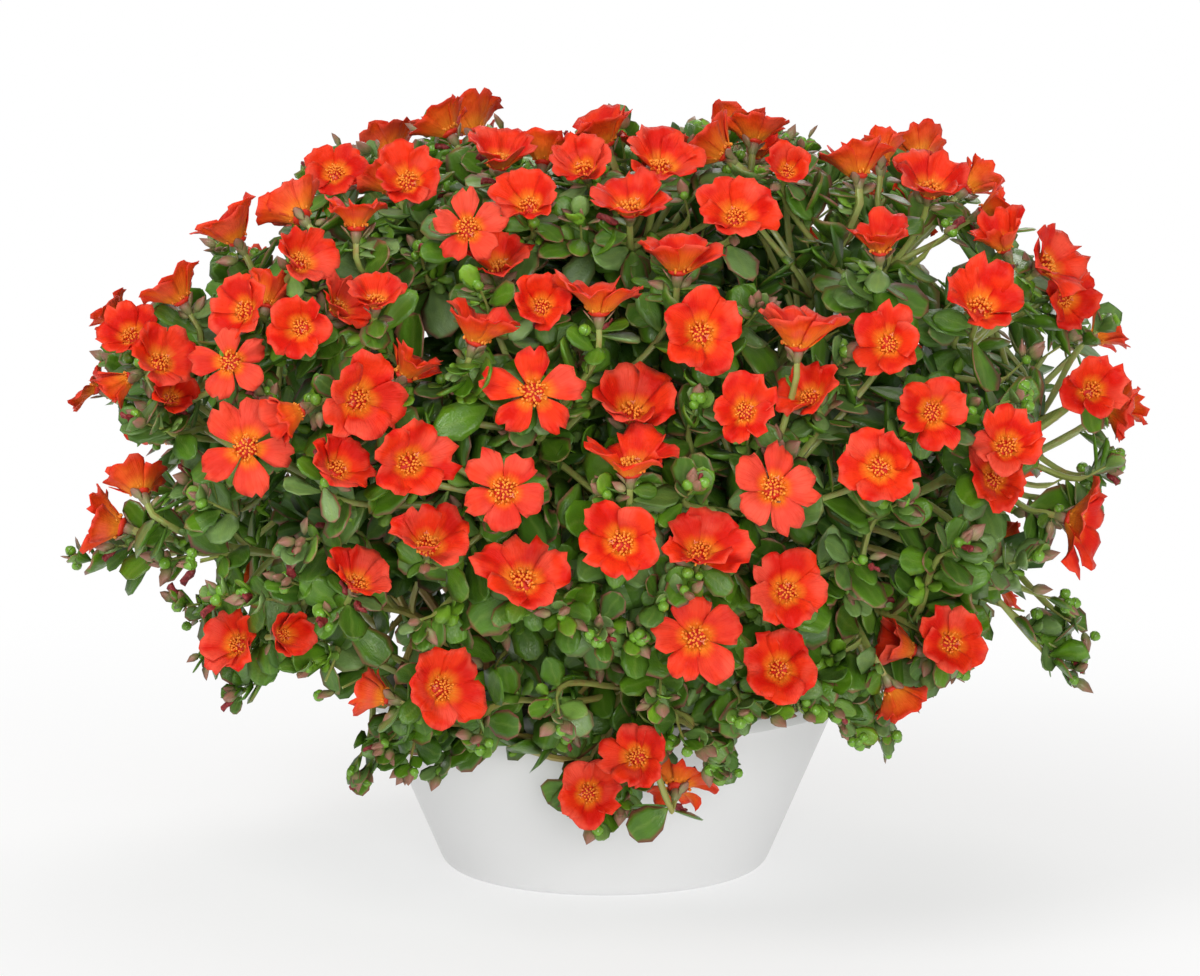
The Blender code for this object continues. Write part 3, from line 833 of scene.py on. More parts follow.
def model_soil(wall):
    """The soil: a body that fills the bowl, with an uneven top strewn with crumbs."""
    dice = random.Random(41)
    inset = wall + SOIL_GAP
    top = wall_radius(SOIL_TOP) - inset
    profile = foot_round(POT_FOOT_ROUND, wall + SEAT, inset)
    profile += [(top, SOIL_TOP - SOIL_SHOULDER), (top - SOIL_EDGE, SOIL_TOP - SOIL_EDGE)]
    profile += [(top * (SOIL_RINGS - ring) / SOIL_RINGS, SOIL_TOP) for ring in range(1, SOIL_RINGS)]
    body = turned_up("soil_body", profile, BOWL_STEPS)
    for vertex in body.data.vertices:
        if vertex.co.z > SOIL_TOP - SOIL_EDGE / 2:
            uneven = noise.noise(vertex.co * SOIL_UNEVEN_SCALE)
            vertex.co.z += SOIL_UNEVENNESS * uneven - SOIL_SINK
    parts = [make_template(body, soil_material())]
    crumb = model_crumb()
    for _ in range(CRUMBS):
        angle = dice.uniform(0, 2 * pi)
        out = (top - CLEAR_OF_WALL) * dice.random() ** 0.5
        spot = Matrix.Translation((out * cos(angle), out * sin(angle), SOIL_TOP - SOIL_SINK))
        turn = Matrix.Rotation(dice.uniform(0, 2 * pi), 4, "Z")
        turn = turn @ Matrix.Rotation(dice.uniform(0, pi), 4, "X")
        parts.append(grow(crumb, spot @ turn @ Matrix.Scale(dice.uniform(*CRUMB_SIZES), 4)))
    soil = join_up("soil_top", parts)
    bpy.data.meshes.remove(crumb)
    return soil


# Places on the mound

def mound_depth(point):
    """Below 1 inside the mound, 1 on its surface and above 1 outside it."""
    rise = point.z - MOUND_MIDDLE.z
    tall, power = (MOUND_RISE, BOXINESS_ABOVE) if rise > 0 else (MOUND_DROP, BOXINESS_BELOW)
    across = abs(point.x / MOUND_HALF_WIDTH) ** power
    deep = abs(point.y / MOUND_HALF_DEPTH) ** power
    return (across + deep + abs(rise / tall) ** power) ** (1.0 / power)


def view_axes():
    """Right, up and towards the viewer."""
    right = Vector((1.0, 0.0, 0.0))
    up = Vector((0.0, sin(VIEW_RISE), cos(VIEW_RISE)))
    near = Vector((0.0, -cos(VIEW_RISE), sin(VIEW_RISE)))
    return right, up, near


def viewer():
    """Where the first view is seen from."""
    return VIEW_TARGET + view_axes()[2] * VIEW_DISTANCE


def picture_place(point):
    """The pixel across and down at which the first view shows a point."""
    right, up, near = view_axes()
    off = point - viewer()
    deep = -off.dot(near) / PICTURE_FOCUS
    return PICTURE_MIDDLE[0] + off.dot(right) / deep, PICTURE_MIDDLE[1] - off.dot(up) / deep


def in_outline(across, down):
    """Whether a pixel lies inside the plant's outline."""
    inside = False
    for (x, y), (next_x, next_y) in zip(OUTLINE, OUTLINE[1:] + OUTLINE[:1]):
        if (y > down) != (next_y > down) and across < (next_x - x) * (down - y) / (next_y - y) + x:
            inside = not inside
    return inside


def left_open(across, down, nearness, dice):
    """Whether a leaf at a pixel would close an opening or cover bare stems."""
    if any(hypot(across - x, down - y) < radius for x, y, radius in OPENINGS):
        return True
    return nearness > NEARER_HALF and any(
        hypot(across - x, down - y) < radius and dice.random() < share
        for x, y, radius, share in THIN_PLACES
    )


def place_seen(across, down):
    """Where the sight line through a pixel first meets the mound, or passes it closest."""
    right, up, near = view_axes()
    sight = right * (across - PICTURE_MIDDLE[0]) - up * (down - PICTURE_MIDDLE[1])
    sight = (sight - near * PICTURE_FOCUS).normalized()
    best = None
    for step in range(int(2 * SIGHT_REACH / SIGHT_STEP)):
        point = viewer() + sight * (VIEW_DISTANCE - SIGHT_REACH + step * SIGHT_STEP)
        depth = mound_depth(point)
        if depth <= 1.0:
            return point
        if best is None or depth < best[0]:
            best = (depth, point)
    return best[1]


def place_round(angle, rise, depth=1.0):
    """A place at an angle round from +X and an angle above the mound's middle."""
    flat = cos(radians(rise))
    way = Vector((flat * cos(radians(angle)), flat * sin(radians(angle)), sin(radians(rise))))
    return MOUND_MIDDLE + way * depth / mound_depth(MOUND_MIDDLE + way)


def outward(point):
    """The level direction from the bowl's axis to a point."""
    return Vector((point.x, point.y, 0.0)).normalized()


def facing_seen(face):
    """A direction given as right, up and towards the viewer."""
    right, up, near = view_axes()
    return (right * face[0] + up * face[1] + near * face[2]).normalized()


def facing_round(place, rise):
    """The way a flower faces that nobody sees in the first view: outwards and up."""
    lift = BACK_FLOWER_LIFT + BACK_FLOWER_LIFT_GAIN * sin(radians(rise))
    return (outward(place) + UP * lift).normalized()


# Shoots

# The foot of a flower or a leafy tip: where it is, the way it faces, the flower's width or 0,
# its form, and whether the first view shows it
Seat = namedtuple("Seat", "place facing wide form seen")

# A stem's number, the points of the route to a seat, the seat, and whether it's a main shoot
Shoot = namedtuple("Shoot", "stem route seat main")


def along_bend(start, leave, arrive, end, part):
    """A point of the bend from start to end, drawn towards leave and then arrive."""
    rest = 1.0 - part
    return (
        start * rest ** 3
        + leave * 3 * rest ** 2 * part
        + arrive * 3 * rest * part ** 2
        + end * part ** 3
    )


def bend(start, leave, arrive, end, steps):
    """Points of a bend."""
    return [along_bend(start, leave, arrive, end, step / steps) for step in range(steps + 1)]


def shoot_base(tip):
    """Where in the soil the shoot of a tip stands: low and wide tips stand near the rim."""
    reach = min(hypot(tip.x, tip.y) / MOUND_HALF_WIDTH, 1.0)
    lowness = (MOUND_MIDDLE.z + MOUND_RISE - tip.z) / (MOUND_RISE + MOUND_DROP)
    apart = BASE_SPREAD * min(REACH_WEIGHT * reach + LOWNESS_WEIGHT * lowness, 1.0)
    return outward(tip) * apart + UP * (SOIL_TOP + SEAT)


def arriving(tip):
    """The way a shoot runs as it nears a tip: up at the top, level at the sides, down below."""
    above = tip.z - LEVEL_HEIGHT
    lift = above / (LIFT_OVER if above > 0 else SINK_OVER)
    return (outward(tip) + UP * max(STEEPEST_FALL, min(lift, STEEPEST_RISE))).normalized()


def main_route(tip, facing, steps):
    """Points of a shoot from the soil to the foot of its first flower."""
    base = shoot_base(tip)
    sprout = base + UP * SPROUT
    neck = tip - facing * NECK
    reach = (neck - sprout).length
    leave = sprout + UP * max(RISE_SHARE * reach, SHORTEST_RISE) + outward(tip) * LEAN_SHARE * reach
    arrive = neck - arriving(tip) * max(ARRIVAL_SHARE * reach, SHORTEST_ARRIVAL)
    return [base] + bend(sprout, leave, arrive, neck, steps) + [tip - facing * SEAT]


def spot_along(route, share):
    """The point at a share of a route's points, and the way the route runs there."""
    spot = share * (len(route) - 1)
    low = min(int(spot), len(route) - 2)
    run = route[low + 1] - route[low]
    return route[low] + run * (spot - low), run.normalized()


def side_route(start, run, tip, facing, steps):
    """Points of a side shoot from inside its parent to the foot of its flower."""
    neck = tip - facing * NECK
    reach = (neck - start).length
    leaving_way = ((neck - start).normalized() + run * TWIG_FOLLOWS_TRUNK).normalized()
    arriving_way = (facing * TWIG_FACING_WEIGHT + arriving(tip)).normalized()
    leave = start + leaving_way * TWIG_LEAVE_SHARE * reach
    arrive = neck - arriving_way * TWIG_ARRIVAL_SHARE * reach
    return bend(start, leave, arrive, neck, steps) + [tip - facing * SEAT]


# How far the foot of a flower lies below its middle as seen, as a share of its radius
FOOT_BELOW = {"cup": 0.16, "open": 0.12, "star": 0.0, "half": 0.20}
FARTHEST_FOOT = 0.004


def seated(across, down, wide, face, form):
    """The seat of a flower whose middle shows at a pixel."""
    facing = facing_seen(face)
    below = min(FOOT_BELOW[form] * wide / 2000, FARTHEST_FOOT)
    return Seat(place_seen(across, down) - facing * below, facing, wide / 1000, form, True)


def main_shoots():
    """The nineteen forked shoots: for each its trunk and its twig."""
    pairs = [[seated(*flower) for flower in pair] for pair in FRONT_SHOOTS]
    for pair in BACK_SHOOTS:
        seats = []
        for angle, rise, wide, form in pair:
            place = place_round(angle, rise)
            seats.append(Seat(place, facing_round(place, rise), wide / 1000, form, False))
        pairs.append(seats)
    shoots = []
    for number, (first, second) in enumerate(pairs):
        trunk = main_route(first.place, first.facing, TRUNK_POINTS)
        start, run = spot_along(trunk, FORK_AT)
        twig = side_route(start, run, second.place, second.facing, TWIG_POINTS)
        shoots.append(Shoot(number, trunk, first, True))
        shoots.append(Shoot(number, twig, second, True))
    return shoots


# Where side shoots may leave a trunk or a twig, and what makes a spot less fit for one
PARENT_SHARES = (0.30, 0.36, 0.42, 0.48, 0.54, 0.60, 0.66, 0.72, 0.78, 0.84)
PARENT_TWIG_SHARES = (0.20, 0.35, 0.50, 0.65)
SHORTEST_SIDE = 0.040
SHORTNESS_COST = 4
TURN_COST = 0.05
CROWD_COST = 0.006


def parent_spots(mains):
    """Where side shoots may leave the main ones: stem number, point, run and count so far."""
    spots = []
    for order, shoot in enumerate(mains):
        shares = PARENT_TWIG_SHARES if order % 2 else PARENT_SHARES
        for share in shares:
            point, run = spot_along(shoot.route, share)
            spots.append([shoot.stem, point, run, 0])
    return spots


def side_shoot(seat, spots):
    """A side shoot to a seat, from the parent spot that reaches it most easily."""
    neck = seat.place - seat.facing * NECK

    def cost(spot):
        _, point, run, taken = spot
        way = neck - point
        short = max(0.0, SHORTEST_SIDE - way.length)
        turning = TURN_COST * (1.0 - way.normalized().dot(run))
        return way.length + SHORTNESS_COST * short + taken * CROWD_COST + turning

    spot = min(spots, key=cost)
    spot[3] += 1
    steps = TWIG_POINTS if seat.wide else LEAFY_POINTS
    route = side_route(spot[1], spot[2], seat.place, seat.facing, steps)
    return Shoot(spot[0], route, seat, False)


# How far apart flowers stand, and the steps by which one is moved away from the viewer
CENTRE_SHARE = 0.35
ROOM_SHARE = 0.78
BACK_STEP = 0.005
BACK_STEPS = 16
LAST_STEP_BACK = 0.012


def flower_centre(seat):
    """The middle of the space that a flower fills."""
    return seat.place + seat.facing * seat.wide / 2 * CENTRE_SHARE


def clear_of(seat, others, share):
    """Whether a flower keeps a share of its and the other's radius from every other flower."""
    middle = flower_centre(seat)
    return all(
        (middle - flower_centre(other)).length > share * (seat.wide + other.wide) / 2
        for other in others
    )


def settled(seat, others):
    """The seat, moved away from the viewer until its flower stands in no other."""
    for step in range(BACK_STEPS):
        away = (seat.place - viewer()).normalized() * BACK_STEP * step
        trial = seat._replace(place=seat.place + away)
        if clear_of(trial, others, ROOM_SHARE):
            return trial
    away = (seat.place - viewer()).normalized() * LAST_STEP_BACK
    return seat._replace(place=seat.place + away)


def over_mound(count, lowest):
    """Angles round and above the mound's middle, evenly spread from lowest to the top."""
    low = sin(radians(lowest))
    for spot in range(count):
        height = low + (1 - low) * (spot + 0.5) / count
        yield spot * GOLDEN_DEGREES % 360, asin(height) * 180 / pi


# Flowers that the first view doesn't show, leafy tips that fill the mound, and tips inside it:
# how many, at what shares of the mound's depth, and down to what angle in degrees
UNSEEN_FLOWERS = 150
UNSEEN_FORMS = ("open", "cup", "star", "cup", "open", "half")
UNSEEN_WIDTHS = (0.034, 0.044)
UNSEEN_DEPTHS = (0.985, 0.94, 0.89, 0.84)
TOP_ABOVE = 0.33
TOP_LIMIT = 0.20
SIDE_LIMIT = -0.10
LOWEST_UNSEEN = -30
OPENING_MARGIN = 16
MIDDLE_ABOVE_FOOT = 0.35
REACH_FROM_MIDDLE = 0.55
UNSEEN_ROOM_SHARE = 0.9
FILLING_TIPS = 210
FILLING_DEPTHS = (0.96, 0.93, 0.88, 0.80)
LOWEST_FILLING = -48
INNER_TIPS = 120
INNER_DEPTHS = (0.50, 0.72)
LOWEST_INNER = -35
CLEAR_OF_RIM = 0.012
CLEAR_ABOVE_RIM = 0.010
TRAILING_RADIUS = POT_RIM_RADIUS + 0.024
TIP_ROOM = 0.016
TIP_OUTWARDS = 0.3
TIP_SPREAD = 0.35


def faces_viewer(place, limit):
    """Whether the mound at a place looks towards the first view."""
    small = 0.001
    slope = Vector([
        mound_depth(place + Vector(small if spot == axis else 0.0 for spot in range(3)))
        for axis in range(3)
    ])
    slope -= Vector((mound_depth(place),) * 3)
    return slope.normalized().dot(view_axes()[2]) > limit


def hidden_behind(seat):
    """Whether a flower keeps inside the outline, and out of its openings, in the first view."""
    right, up, _ = view_axes()
    middle = seat.place + seat.facing * seat.wide * MIDDLE_ABOVE_FOOT
    ways = (right, -right, up, -up, right + up, up - right)
    across, down = picture_place(middle)
    if any(hypot(across - x, down - y) < radius + OPENING_MARGIN for x, y, radius in OPENINGS):
        return False
    reach = seat.wide * REACH_FROM_MIDDLE
    return all(in_outline(*picture_place(middle + way * reach)) for way in ways)


def unseen_seats(taken):
    """Flowers on the sides, top and back that the first view doesn't show."""
    dice = random.Random(11)
    seats = []
    for number, (angle, rise) in enumerate(over_mound(UNSEEN_FLOWERS, LOWEST_UNSEEN)):
        angle, rise = angle + dice.uniform(-5, 5), rise + dice.uniform(-3, 3)
        tilt = Vector(dice.uniform(-0.3, 0.3) for _ in range(3))
        wide = dice.uniform(*UNSEEN_WIDTHS)
        form = UNSEEN_FORMS[number % len(UNSEEN_FORMS)]
        for depth in UNSEEN_DEPTHS:
            place = place_round(angle, rise, depth)
            facing = (facing_round(place, rise) + tilt).normalized()
            seat = Seat(place, facing, wide, form, False)
            limit = TOP_LIMIT if place.z > TOP_ABOVE else SIDE_LIMIT
            if faces_viewer(place, limit) or not hidden_behind(seat):
                continue
            if clear_of(seat, taken + seats, UNSEEN_ROOM_SHARE):
                seats.append(seat)
                break
    return seats


def leafy_seats(taken):
    """Shoot tips with leaves and closed buds, at the edges in view and all over the mound."""
    dice = random.Random(23)
    places = [(place_seen(across, down), "leafy") for across, down in LEAFY_TIPS]
    for angle, rise in over_mound(FILLING_TIPS, LOWEST_FILLING):
        depth = dice.choice(FILLING_DEPTHS)
        places.append((place_round(angle + dice.uniform(-4, 4), rise, depth), "leafy"))
    for angle, rise in over_mound(INNER_TIPS, LOWEST_INNER):
        places.append((place_round(angle, rise, dice.uniform(*INNER_DEPTHS)), "inner"))
    seats = []
    for number, (place, form) in enumerate(places):
        over_rim = hypot(place.x, place.y) < POT_RIM_RADIUS + CLEAR_OF_RIM
        if over_rim and place.z < POT_HEIGHT + CLEAR_ABOVE_RIM:
            if number >= len(LEAFY_TIPS):
                continue
            place = outward(place) * TRAILING_RADIUS + UP * place.z
        if not in_outline(*picture_place(place)):
            continue
        spread_way = Vector(dice.uniform(-TIP_SPREAD, TIP_SPREAD) for _ in range(3))
        facing = (arriving(place) + outward(place) * TIP_OUTWARDS + spread_way).normalized()
        near = min((place - other.place).length for other in taken)
        if near > TIP_ROOM:
            seats.append(Seat(place, facing, 0.0, form, False))
    return seats


@cache
def plan():
    """Every shoot of the plant: the main ones first, then the side shoots."""
    mains = main_shoots()
    seats = [shoot.seat for shoot in mains]
    spots = parent_spots(mains)
    shoots = list(mains)
    for flower in SIDE_FLOWERS:
        seats.append(settled(seated(*flower), seats))
    seats += unseen_seats(seats)
    seats += leafy_seats(seats)
    for seat in seats[len(mains):]:
        shoots.append(side_shoot(seat, spots))
    return shoots


def numbered(kind, number):
    """The name of a kind of piece on a stem."""
    return f"{kind}_{number + 1:02d}"


def stem_name(number):
    """The name of a stem's CAD node."""
    return numbered("stem", number)


# Stems

SIDE_TAPER = 0.9
TIP_TAPER = 0.4
SWELLINGS = (-0.05, 0.10)
SAME_POINT = 0.00001


def model_stem(number):
    """The bare stems of one forked shoot and of the side shoots that grow from it."""
    sizes = bpy.context.scene.portulaca_shoot
    dice = random.Random(100 + number)
    curve = bpy.data.curves.new("stems", "CURVE")
    curve.dimensions = "3D"
    curve.bevel_depth = 1.0
    curve.bevel_resolution = 1
    curve.use_fill_caps = True
    for order, shoot in enumerate(shoots_of(number)):
        thick = sizes.twig_radius if shoot.main else sizes.side_radius
        if order == 0:
            thick = sizes.stem_radius
        thin = sizes.twig_radius if order == 0 else sizes.side_radius * SIDE_TAPER
        spline = curve.splines.new("POLY")
        last = len(shoot.route) - 1
        spline.points.add(last)
        for step, point in enumerate(shoot.route):
            spline.points[step].co = (*point, 1.0)
            swelling = 1.0 + dice.uniform(*SWELLINGS)
            if step > last - 2 and not shoot.seat.wide:
                swelling *= TIP_TAPER
            spline.points[step].radius = (thick + (thin - thick) * step / last) * swelling
    stems = bpy.data.objects.new(numbered("stems", number), curve)
    bpy.context.scene.collection.objects.link(stems)
    choose(stems)
    bpy.ops.object.convert(target="MESH")
    stems = bpy.context.object
    edit(stems)
    bpy.ops.mesh.select_all(action="SELECT")
    bpy.ops.mesh.remove_doubles(threshold=SAME_POINT)
    bpy.ops.mesh.normals_make_consistent(inside=False)
    leave_edit()
    bpy.ops.object.shade_smooth_by_angle(angle=radians(60))
    stems.data.materials.append(bark_material())
    return stems


def shoots_of(number):
    """All shoots of one stem, its trunk first."""
    return [shoot for shoot in plan() if shoot.stem == number]


# Leaves

# Each form: stations of place along and half width, how far the edges fold up, how the tip
# curls, and half the thickness, all as shares of the length.
LEAF_FORMS = (
    (((0.08, 0.06), (0.36, 0.25), (0.70, 0.33), (0.93, 0.20)), 0.05, -0.06, 0.046),
    (((0.08, 0.06), (0.36, 0.21), (0.70, 0.27), (0.92, 0.16)), 0.06, 0.08, 0.050),
    (((0.08, 0.06), (0.35, 0.21), (0.68, 0.36), (0.93, 0.24)), 0.08, 0.12, 0.044),
    (((0.09, 0.08), (0.35, 0.31), (0.68, 0.38), (0.93, 0.23)), 0.04, -0.10, 0.048),
    (((0.08, 0.06), (0.34, 0.26), (0.64, 0.31), (0.90, 0.15)), 0.06, -0.02, 0.044),
    (((0.08, 0.06), (0.36, 0.22), (0.71, 0.34), (0.94, 0.22)), 0.11, 0.02, 0.046),
)
PLAIN_LEAF = (((0.16, 0.14), (0.55, 0.35), (0.88, 0.27)), 0.05, 0.0, 0.050)
BRACT = (((0.14, 0.15), (0.45, 0.26), (0.80, 0.14)), 0.12, 0.10, 0.050)
LEAF_ACROSS = 6
PLAIN_ACROSS = 4
USUAL_HALF_WIDTH = 0.3
SAME_RING = 0.004
SAME_EDGE = 0.001
PARKED = 10
LIE_ALONG_X = Matrix(((0, 0, 1, 0), (0, 1, 0, 0), (-1, 0, 0, 0), (0, 0, 0, 1)))


def ringed(segments, stations):
    """A closed body of unit length along +X, with a ring of points at each station.

    A station holds a ring's place along, half width, half thickness and rise. The body starts
    as a ball. A finished ring is parked far along X, so that no later one is selected with it.
    """
    rings = len(stations) + 1
    ball = start_with(
        bpy.ops.mesh.primitive_uv_sphere_add, segments=segments, ring_count=rings, radius=0.5
    )
    ball.data.transform(Matrix.Translation((0.5, 0, 0)) @ LIE_ALONG_X)
    places = [0.5 - 0.5 * cos(pi * ring / rings) for ring in range(1, rings)]
    sizes = [0.5 * sin(pi * ring / rings) for ring in range(1, rings)]
    put_uv(ball.data, lambda co: (co.x, 0.5 + 0.5 * co.y / max(ring_size(co.x), 0.001)))
    edit(ball)
    for place, size, (along, half, thick, rise) in reversed(list(zip(places, sizes, stations))):
        choose_points(ball, lambda co: abs(co.x - place) < SAME_RING)
        bpy.ops.transform.resize(value=(1, half / size, thick / size), center_override=(place, 0, 0))
        bpy.ops.transform.translate(value=(PARKED + along - place, 0, rise))
    choose_points(ball, lambda co: co.x > PARKED / 2)
    bpy.ops.transform.translate(value=(-PARKED, 0, 0))
    leave_edit()
    return ball


def model_pod(segments, stations, flatness=1.0):
    """A straight body of unit length along +X, from places along it and half widths."""
    return ringed(segments, [(along, half, half * flatness, 0) for along, half in stations])


def ring_size(place):
    """The unit ball's radius at a place along it."""
    return max(place * (1 - place), 0.0) ** 0.5


def half_thickness(thick, along):
    """Half a leaf's thickness at a station: most just past the middle, less to both ends."""
    return thick * (1 - (2 * along - 1.1) ** 2 * 0.5)


def model_leaf(form, across=LEAF_ACROSS, material=None):
    """One leaf of unit length along +X, its upper side towards +Z."""
    stations, fold, curl, thick = form
    leaf = ringed(across, [
        (along, half, half_thickness(thick, along), curl * along ** 2)
        for along, half in stations
    ])
    edges = dict(stations)
    tip = max(vertex.co.x for vertex in leaf.data.vertices)
    for vertex in leaf.data.vertices:
        if vertex.co.x > tip - SAME_EDGE:
            vertex.co.z += curl
        near = min(edges, key=lambda along: abs(along - vertex.co.x))
        if abs(abs(vertex.co.y) - edges[near]) < SAME_EDGE:
            vertex.co.z += fold * edges[near] / USUAL_HALF_WIDTH
    return make_template(leaf, material or leaf_material())


def length_back(route):
    """Distances of a route's points from its tip, walking back."""
    total, lengths = 0.0, [0.0]
    for after, before in zip(route[::-1], route[-2::-1]):
        total += (after - before).length
        lengths.append(total)
    return lengths


def spot_back(route, lengths, distance):
    """The point at a distance back from the tip, and the way the route runs there."""
    for step in range(1, len(lengths)):
        if lengths[step] >= distance:
            after, before = route[-step], route[-step - 1]
            part = (distance - lengths[step - 1]) / max(lengths[step] - lengths[step - 1], 1e-9)
            return after.lerp(before, part), (after - before).normalized()
    return route[0], (route[1] - route[0]).normalized()


# Where the leaves of a shoot start, how their gaps grow, and how much of the shoot is leafy
FIRST_LEAF_BELOW_FLOWER = 0.0075
FIRST_LEAF_BELOW_TIP = 0.0005
CLOSEST_LEAVES = 0.0020
LEAF_GAP_GROWTH = 0.00050
WIDEST_LEAF_GAP = 0.0088
LEAFY_SHARE_OF_TRUNK = 0.58
LEAFY_SHARE_OF_SIDE = 0.84
BARE_SHARE = 0.34
LEAST_LEAFY = 0.030
BARE_STEMS = (0, 1, 5, 9)
BARE_SIDES = 0.22


def leaf_stations(shoot, total, dice):
    """Distances from the tip at which a shoot's leaves stand."""
    distance = FIRST_LEAF_BELOW_FLOWER if shoot.seat.wide else FIRST_LEAF_BELOW_TIP
    limit = total * (LEAFY_SHARE_OF_TRUNK if shoot.main else LEAFY_SHARE_OF_SIDE)
    if shoot.seat.form != "inner" and (shoot.stem in BARE_STEMS or dice.random() < BARE_SIDES):
        limit = max(total * BARE_SHARE, LEAST_LEAFY)
    gap = CLOSEST_LEAVES
    while distance < limit:
        yield distance
        distance += gap
        gap = min(gap + LEAF_GAP_GROWTH, WIDEST_LEAF_GAP)


# Distances from the tip at which leaves are grown, are at their largest and start to get smaller
GROWN_AT = 0.022
LARGEST_AT = 0.05
SMALLER_FROM = 0.07
SMALLER_OVER = 0.06


def leaf_size(distance):
    """A leaf's share of full length by its distance from the tip."""
    young = 0.55 + 0.50 * min(distance / GROWN_AT, 1.0)
    grown = young + 0.14 * min(distance / LARGEST_AT, 1.0)
    return grown - 0.25 * min(max(distance - SMALLER_FROM, 0.0) / SMALLER_OVER, 1.0)


# How much a leaf's face turns along its stem, up, away from the mound's middle and aside
ALONG_WEIGHT = 0.50
RISING_WEIGHT = 0.35
UP_WEIGHT = 0.35
AWAY_WEIGHT = 0.70
ASIDE_WEIGHT = 0.1


def sideways(run, turn):
    """A direction square to a run, turned round it."""
    side = run.orthogonal().normalized()
    side.rotate(Quaternion(run, turn))
    return side


def leaf_place(point, run, turn, splay, size, roll, stand_off):
    """A leaf's place: it leaves the stem at point, turned round run and splayed from it."""
    side = sideways(run, turn)
    way = (run * cos(splay) + side * sin(splay)).normalized()
    apart = point - MOUND_MIDDLE
    apart.z = max(apart.z, 0.0)
    face = run * (ALONG_WEIGHT + RISING_WEIGHT * run.z) + UP * UP_WEIGHT
    face = face + apart.normalized() * AWAY_WEIGHT + side * ASIDE_WEIGHT
    face = (face - way * face.dot(way)).normalized()
    face.rotate(Quaternion(way, roll))
    across = face.cross(way)
    turned = Matrix((way, across, face)).transposed().to_4x4()
    return Matrix.Translation(point + side * stand_off) @ turned @ Matrix.Scale(size, 4)


# The space kept free before a flower, the shape of its cup, and the room at the plant's edges
SEEN_FLOWER_SPACE = 0.034
UNSEEN_FLOWER_SPACE = 0.020
SIGHT_SHARE = 0.78
FOOT_WIDTH = 0.30
MOUTH_GAIN = 0.75
MOUTH_HEIGHT = 0.6
BELOW_FOOT = 0.002
BEHIND_MIDDLE = 0.001
PAST_BOX = 0.004
CLEAR_OF_FLOOR = 0.004
CLEAR_OF_BOWL = 0.002
CLEAR_OF_LIP = 0.003
CELL = 0.01


class Room:
    """What stands where, so that a leaf or bud keeps out of flowers, the bowl and its like."""

    def __init__(self, seats):
        self.feet = np.array([seat.place for seat in seats])
        self.ways = np.array([seat.facing for seat in seats])
        self.radii = np.array([seat.wide / 2 for seat in seats])
        self.heights = np.array([
            SEEN_FLOWER_SPACE if seat.seen else UNSEEN_FLOWER_SPACE for seat in seats
        ])
        seen = np.array([seat.seen for seat in seats])
        self.centres = np.array([flower_centre(seat) for seat in seats])[seen]
        sight = np.array(viewer()) - self.centres
        self.sights = sight / np.linalg.norm(sight, axis=1)[:, None]
        self.seen_radii = self.radii[seen]
        self.low = np.array(CAD_LOW) - PAST_BOX
        self.high = np.array(CAD_HIGH) + PAST_BOX
        self.cells = {}
        self.dice = random.Random(9)

    def in_flower(self, point):
        """Whether a point is in a flower's cup or in the clear space before it."""
        off = point - self.feet
        height = np.einsum("ij,ij->i", off, self.ways)
        aside = np.linalg.norm(off - height[:, None] * self.ways, axis=1)
        open_share = np.clip(height / (MOUTH_HEIGHT * self.radii), 0, 1)
        wide = self.radii * (FOOT_WIDTH + MOUTH_GAIN * open_share)
        if ((height > -BELOW_FOOT) & (height < self.heights) & (aside < wide)).any():
            return True
        off = point - self.centres
        height = np.einsum("ij,ij->i", off, self.sights)
        aside = np.linalg.norm(off - height[:, None] * self.sights, axis=1)
        return ((height > -BEHIND_MIDDLE) & (aside < SIGHT_SHARE * self.seen_radii)).any()

    def outside(self, point):
        """Whether a point leaves the plant's box or outline, or is in the bowl, floor or a gap."""
        if (point < self.low).any() or (point > self.high).any():
            return True
        if point[2] < CLEAR_OF_FLOOR:
            return True
        bowl = wall_radius(point[2]) + POT_LIP + CLEAR_OF_BOWL
        if point[2] < POT_HEIGHT + CLEAR_OF_LIP and hypot(point[0], point[1]) < bowl:
            return True
        pixel = picture_place(Vector(point))
        return not in_outline(*pixel) or left_open(*pixel, -point[1], self.dice)

    def cell(self, point):
        """The cell of a grid that a point lies in."""
        return tuple(int(part // CELL) for part in point)

    def crowded(self, point, size):
        """Whether another leaf's middle lies within size."""
        home = self.cell(point)
        for step in product((-1, 0, 1), repeat=3):
            cell = tuple(part + move for part, move in zip(home, step))
            for other in self.cells.get(cell, ()):
                if np.abs(point - other).max() < size and np.linalg.norm(point - other) < size:
                    return True
        return False

    def take(self, point):
        """Note a leaf's middle."""
        self.cells.setdefault(self.cell(point), []).append(point)


@cache
def room():
    """The room shared by all leaves and buds."""
    return Room([shoot.seat for shoot in plan() if shoot.seat.wide])


# Shares of a leaf's length that are tested for room, and distances from the tip at which the
# leaves of a shoot change
LEAF_TEST_POINTS = (0.45, 0.75, 1.0, 0.20)
ROSETTE_TEST_POINTS = (0.5, 1.0)
PLAIN_BEYOND = 0.055
LEAF_TRIES = 5
LEAF_ROOM = 0.0043
TIP_ROOM_SHARE = 0.6
TIP_LENGTH = 0.010
FOLDED_LENGTH = 0.014
SKIRT_LENGTH = 0.016
SKIRT_SPLAY = radians(84)
INNER_SIZE = 1.1
OFF_STEM = 0.0008
TURN_EACH_TRY = 1.3
ROSETTE_SHARE = 0.34
ROSETTES_FROM = 0.014
ROSETTES_TO = 0.060
ROSETTE_STALK = 0.005


def points_along(place, shares):
    """Points of a leaf or bud at a place, at shares of its length."""
    return [np.array(place @ Vector((along, 0, 0))) for along in shares]


def barred(points):
    """Whether any of the points is in a flower or outside the plant."""
    return any(room().in_flower(point) or room().outside(point) for point in points)


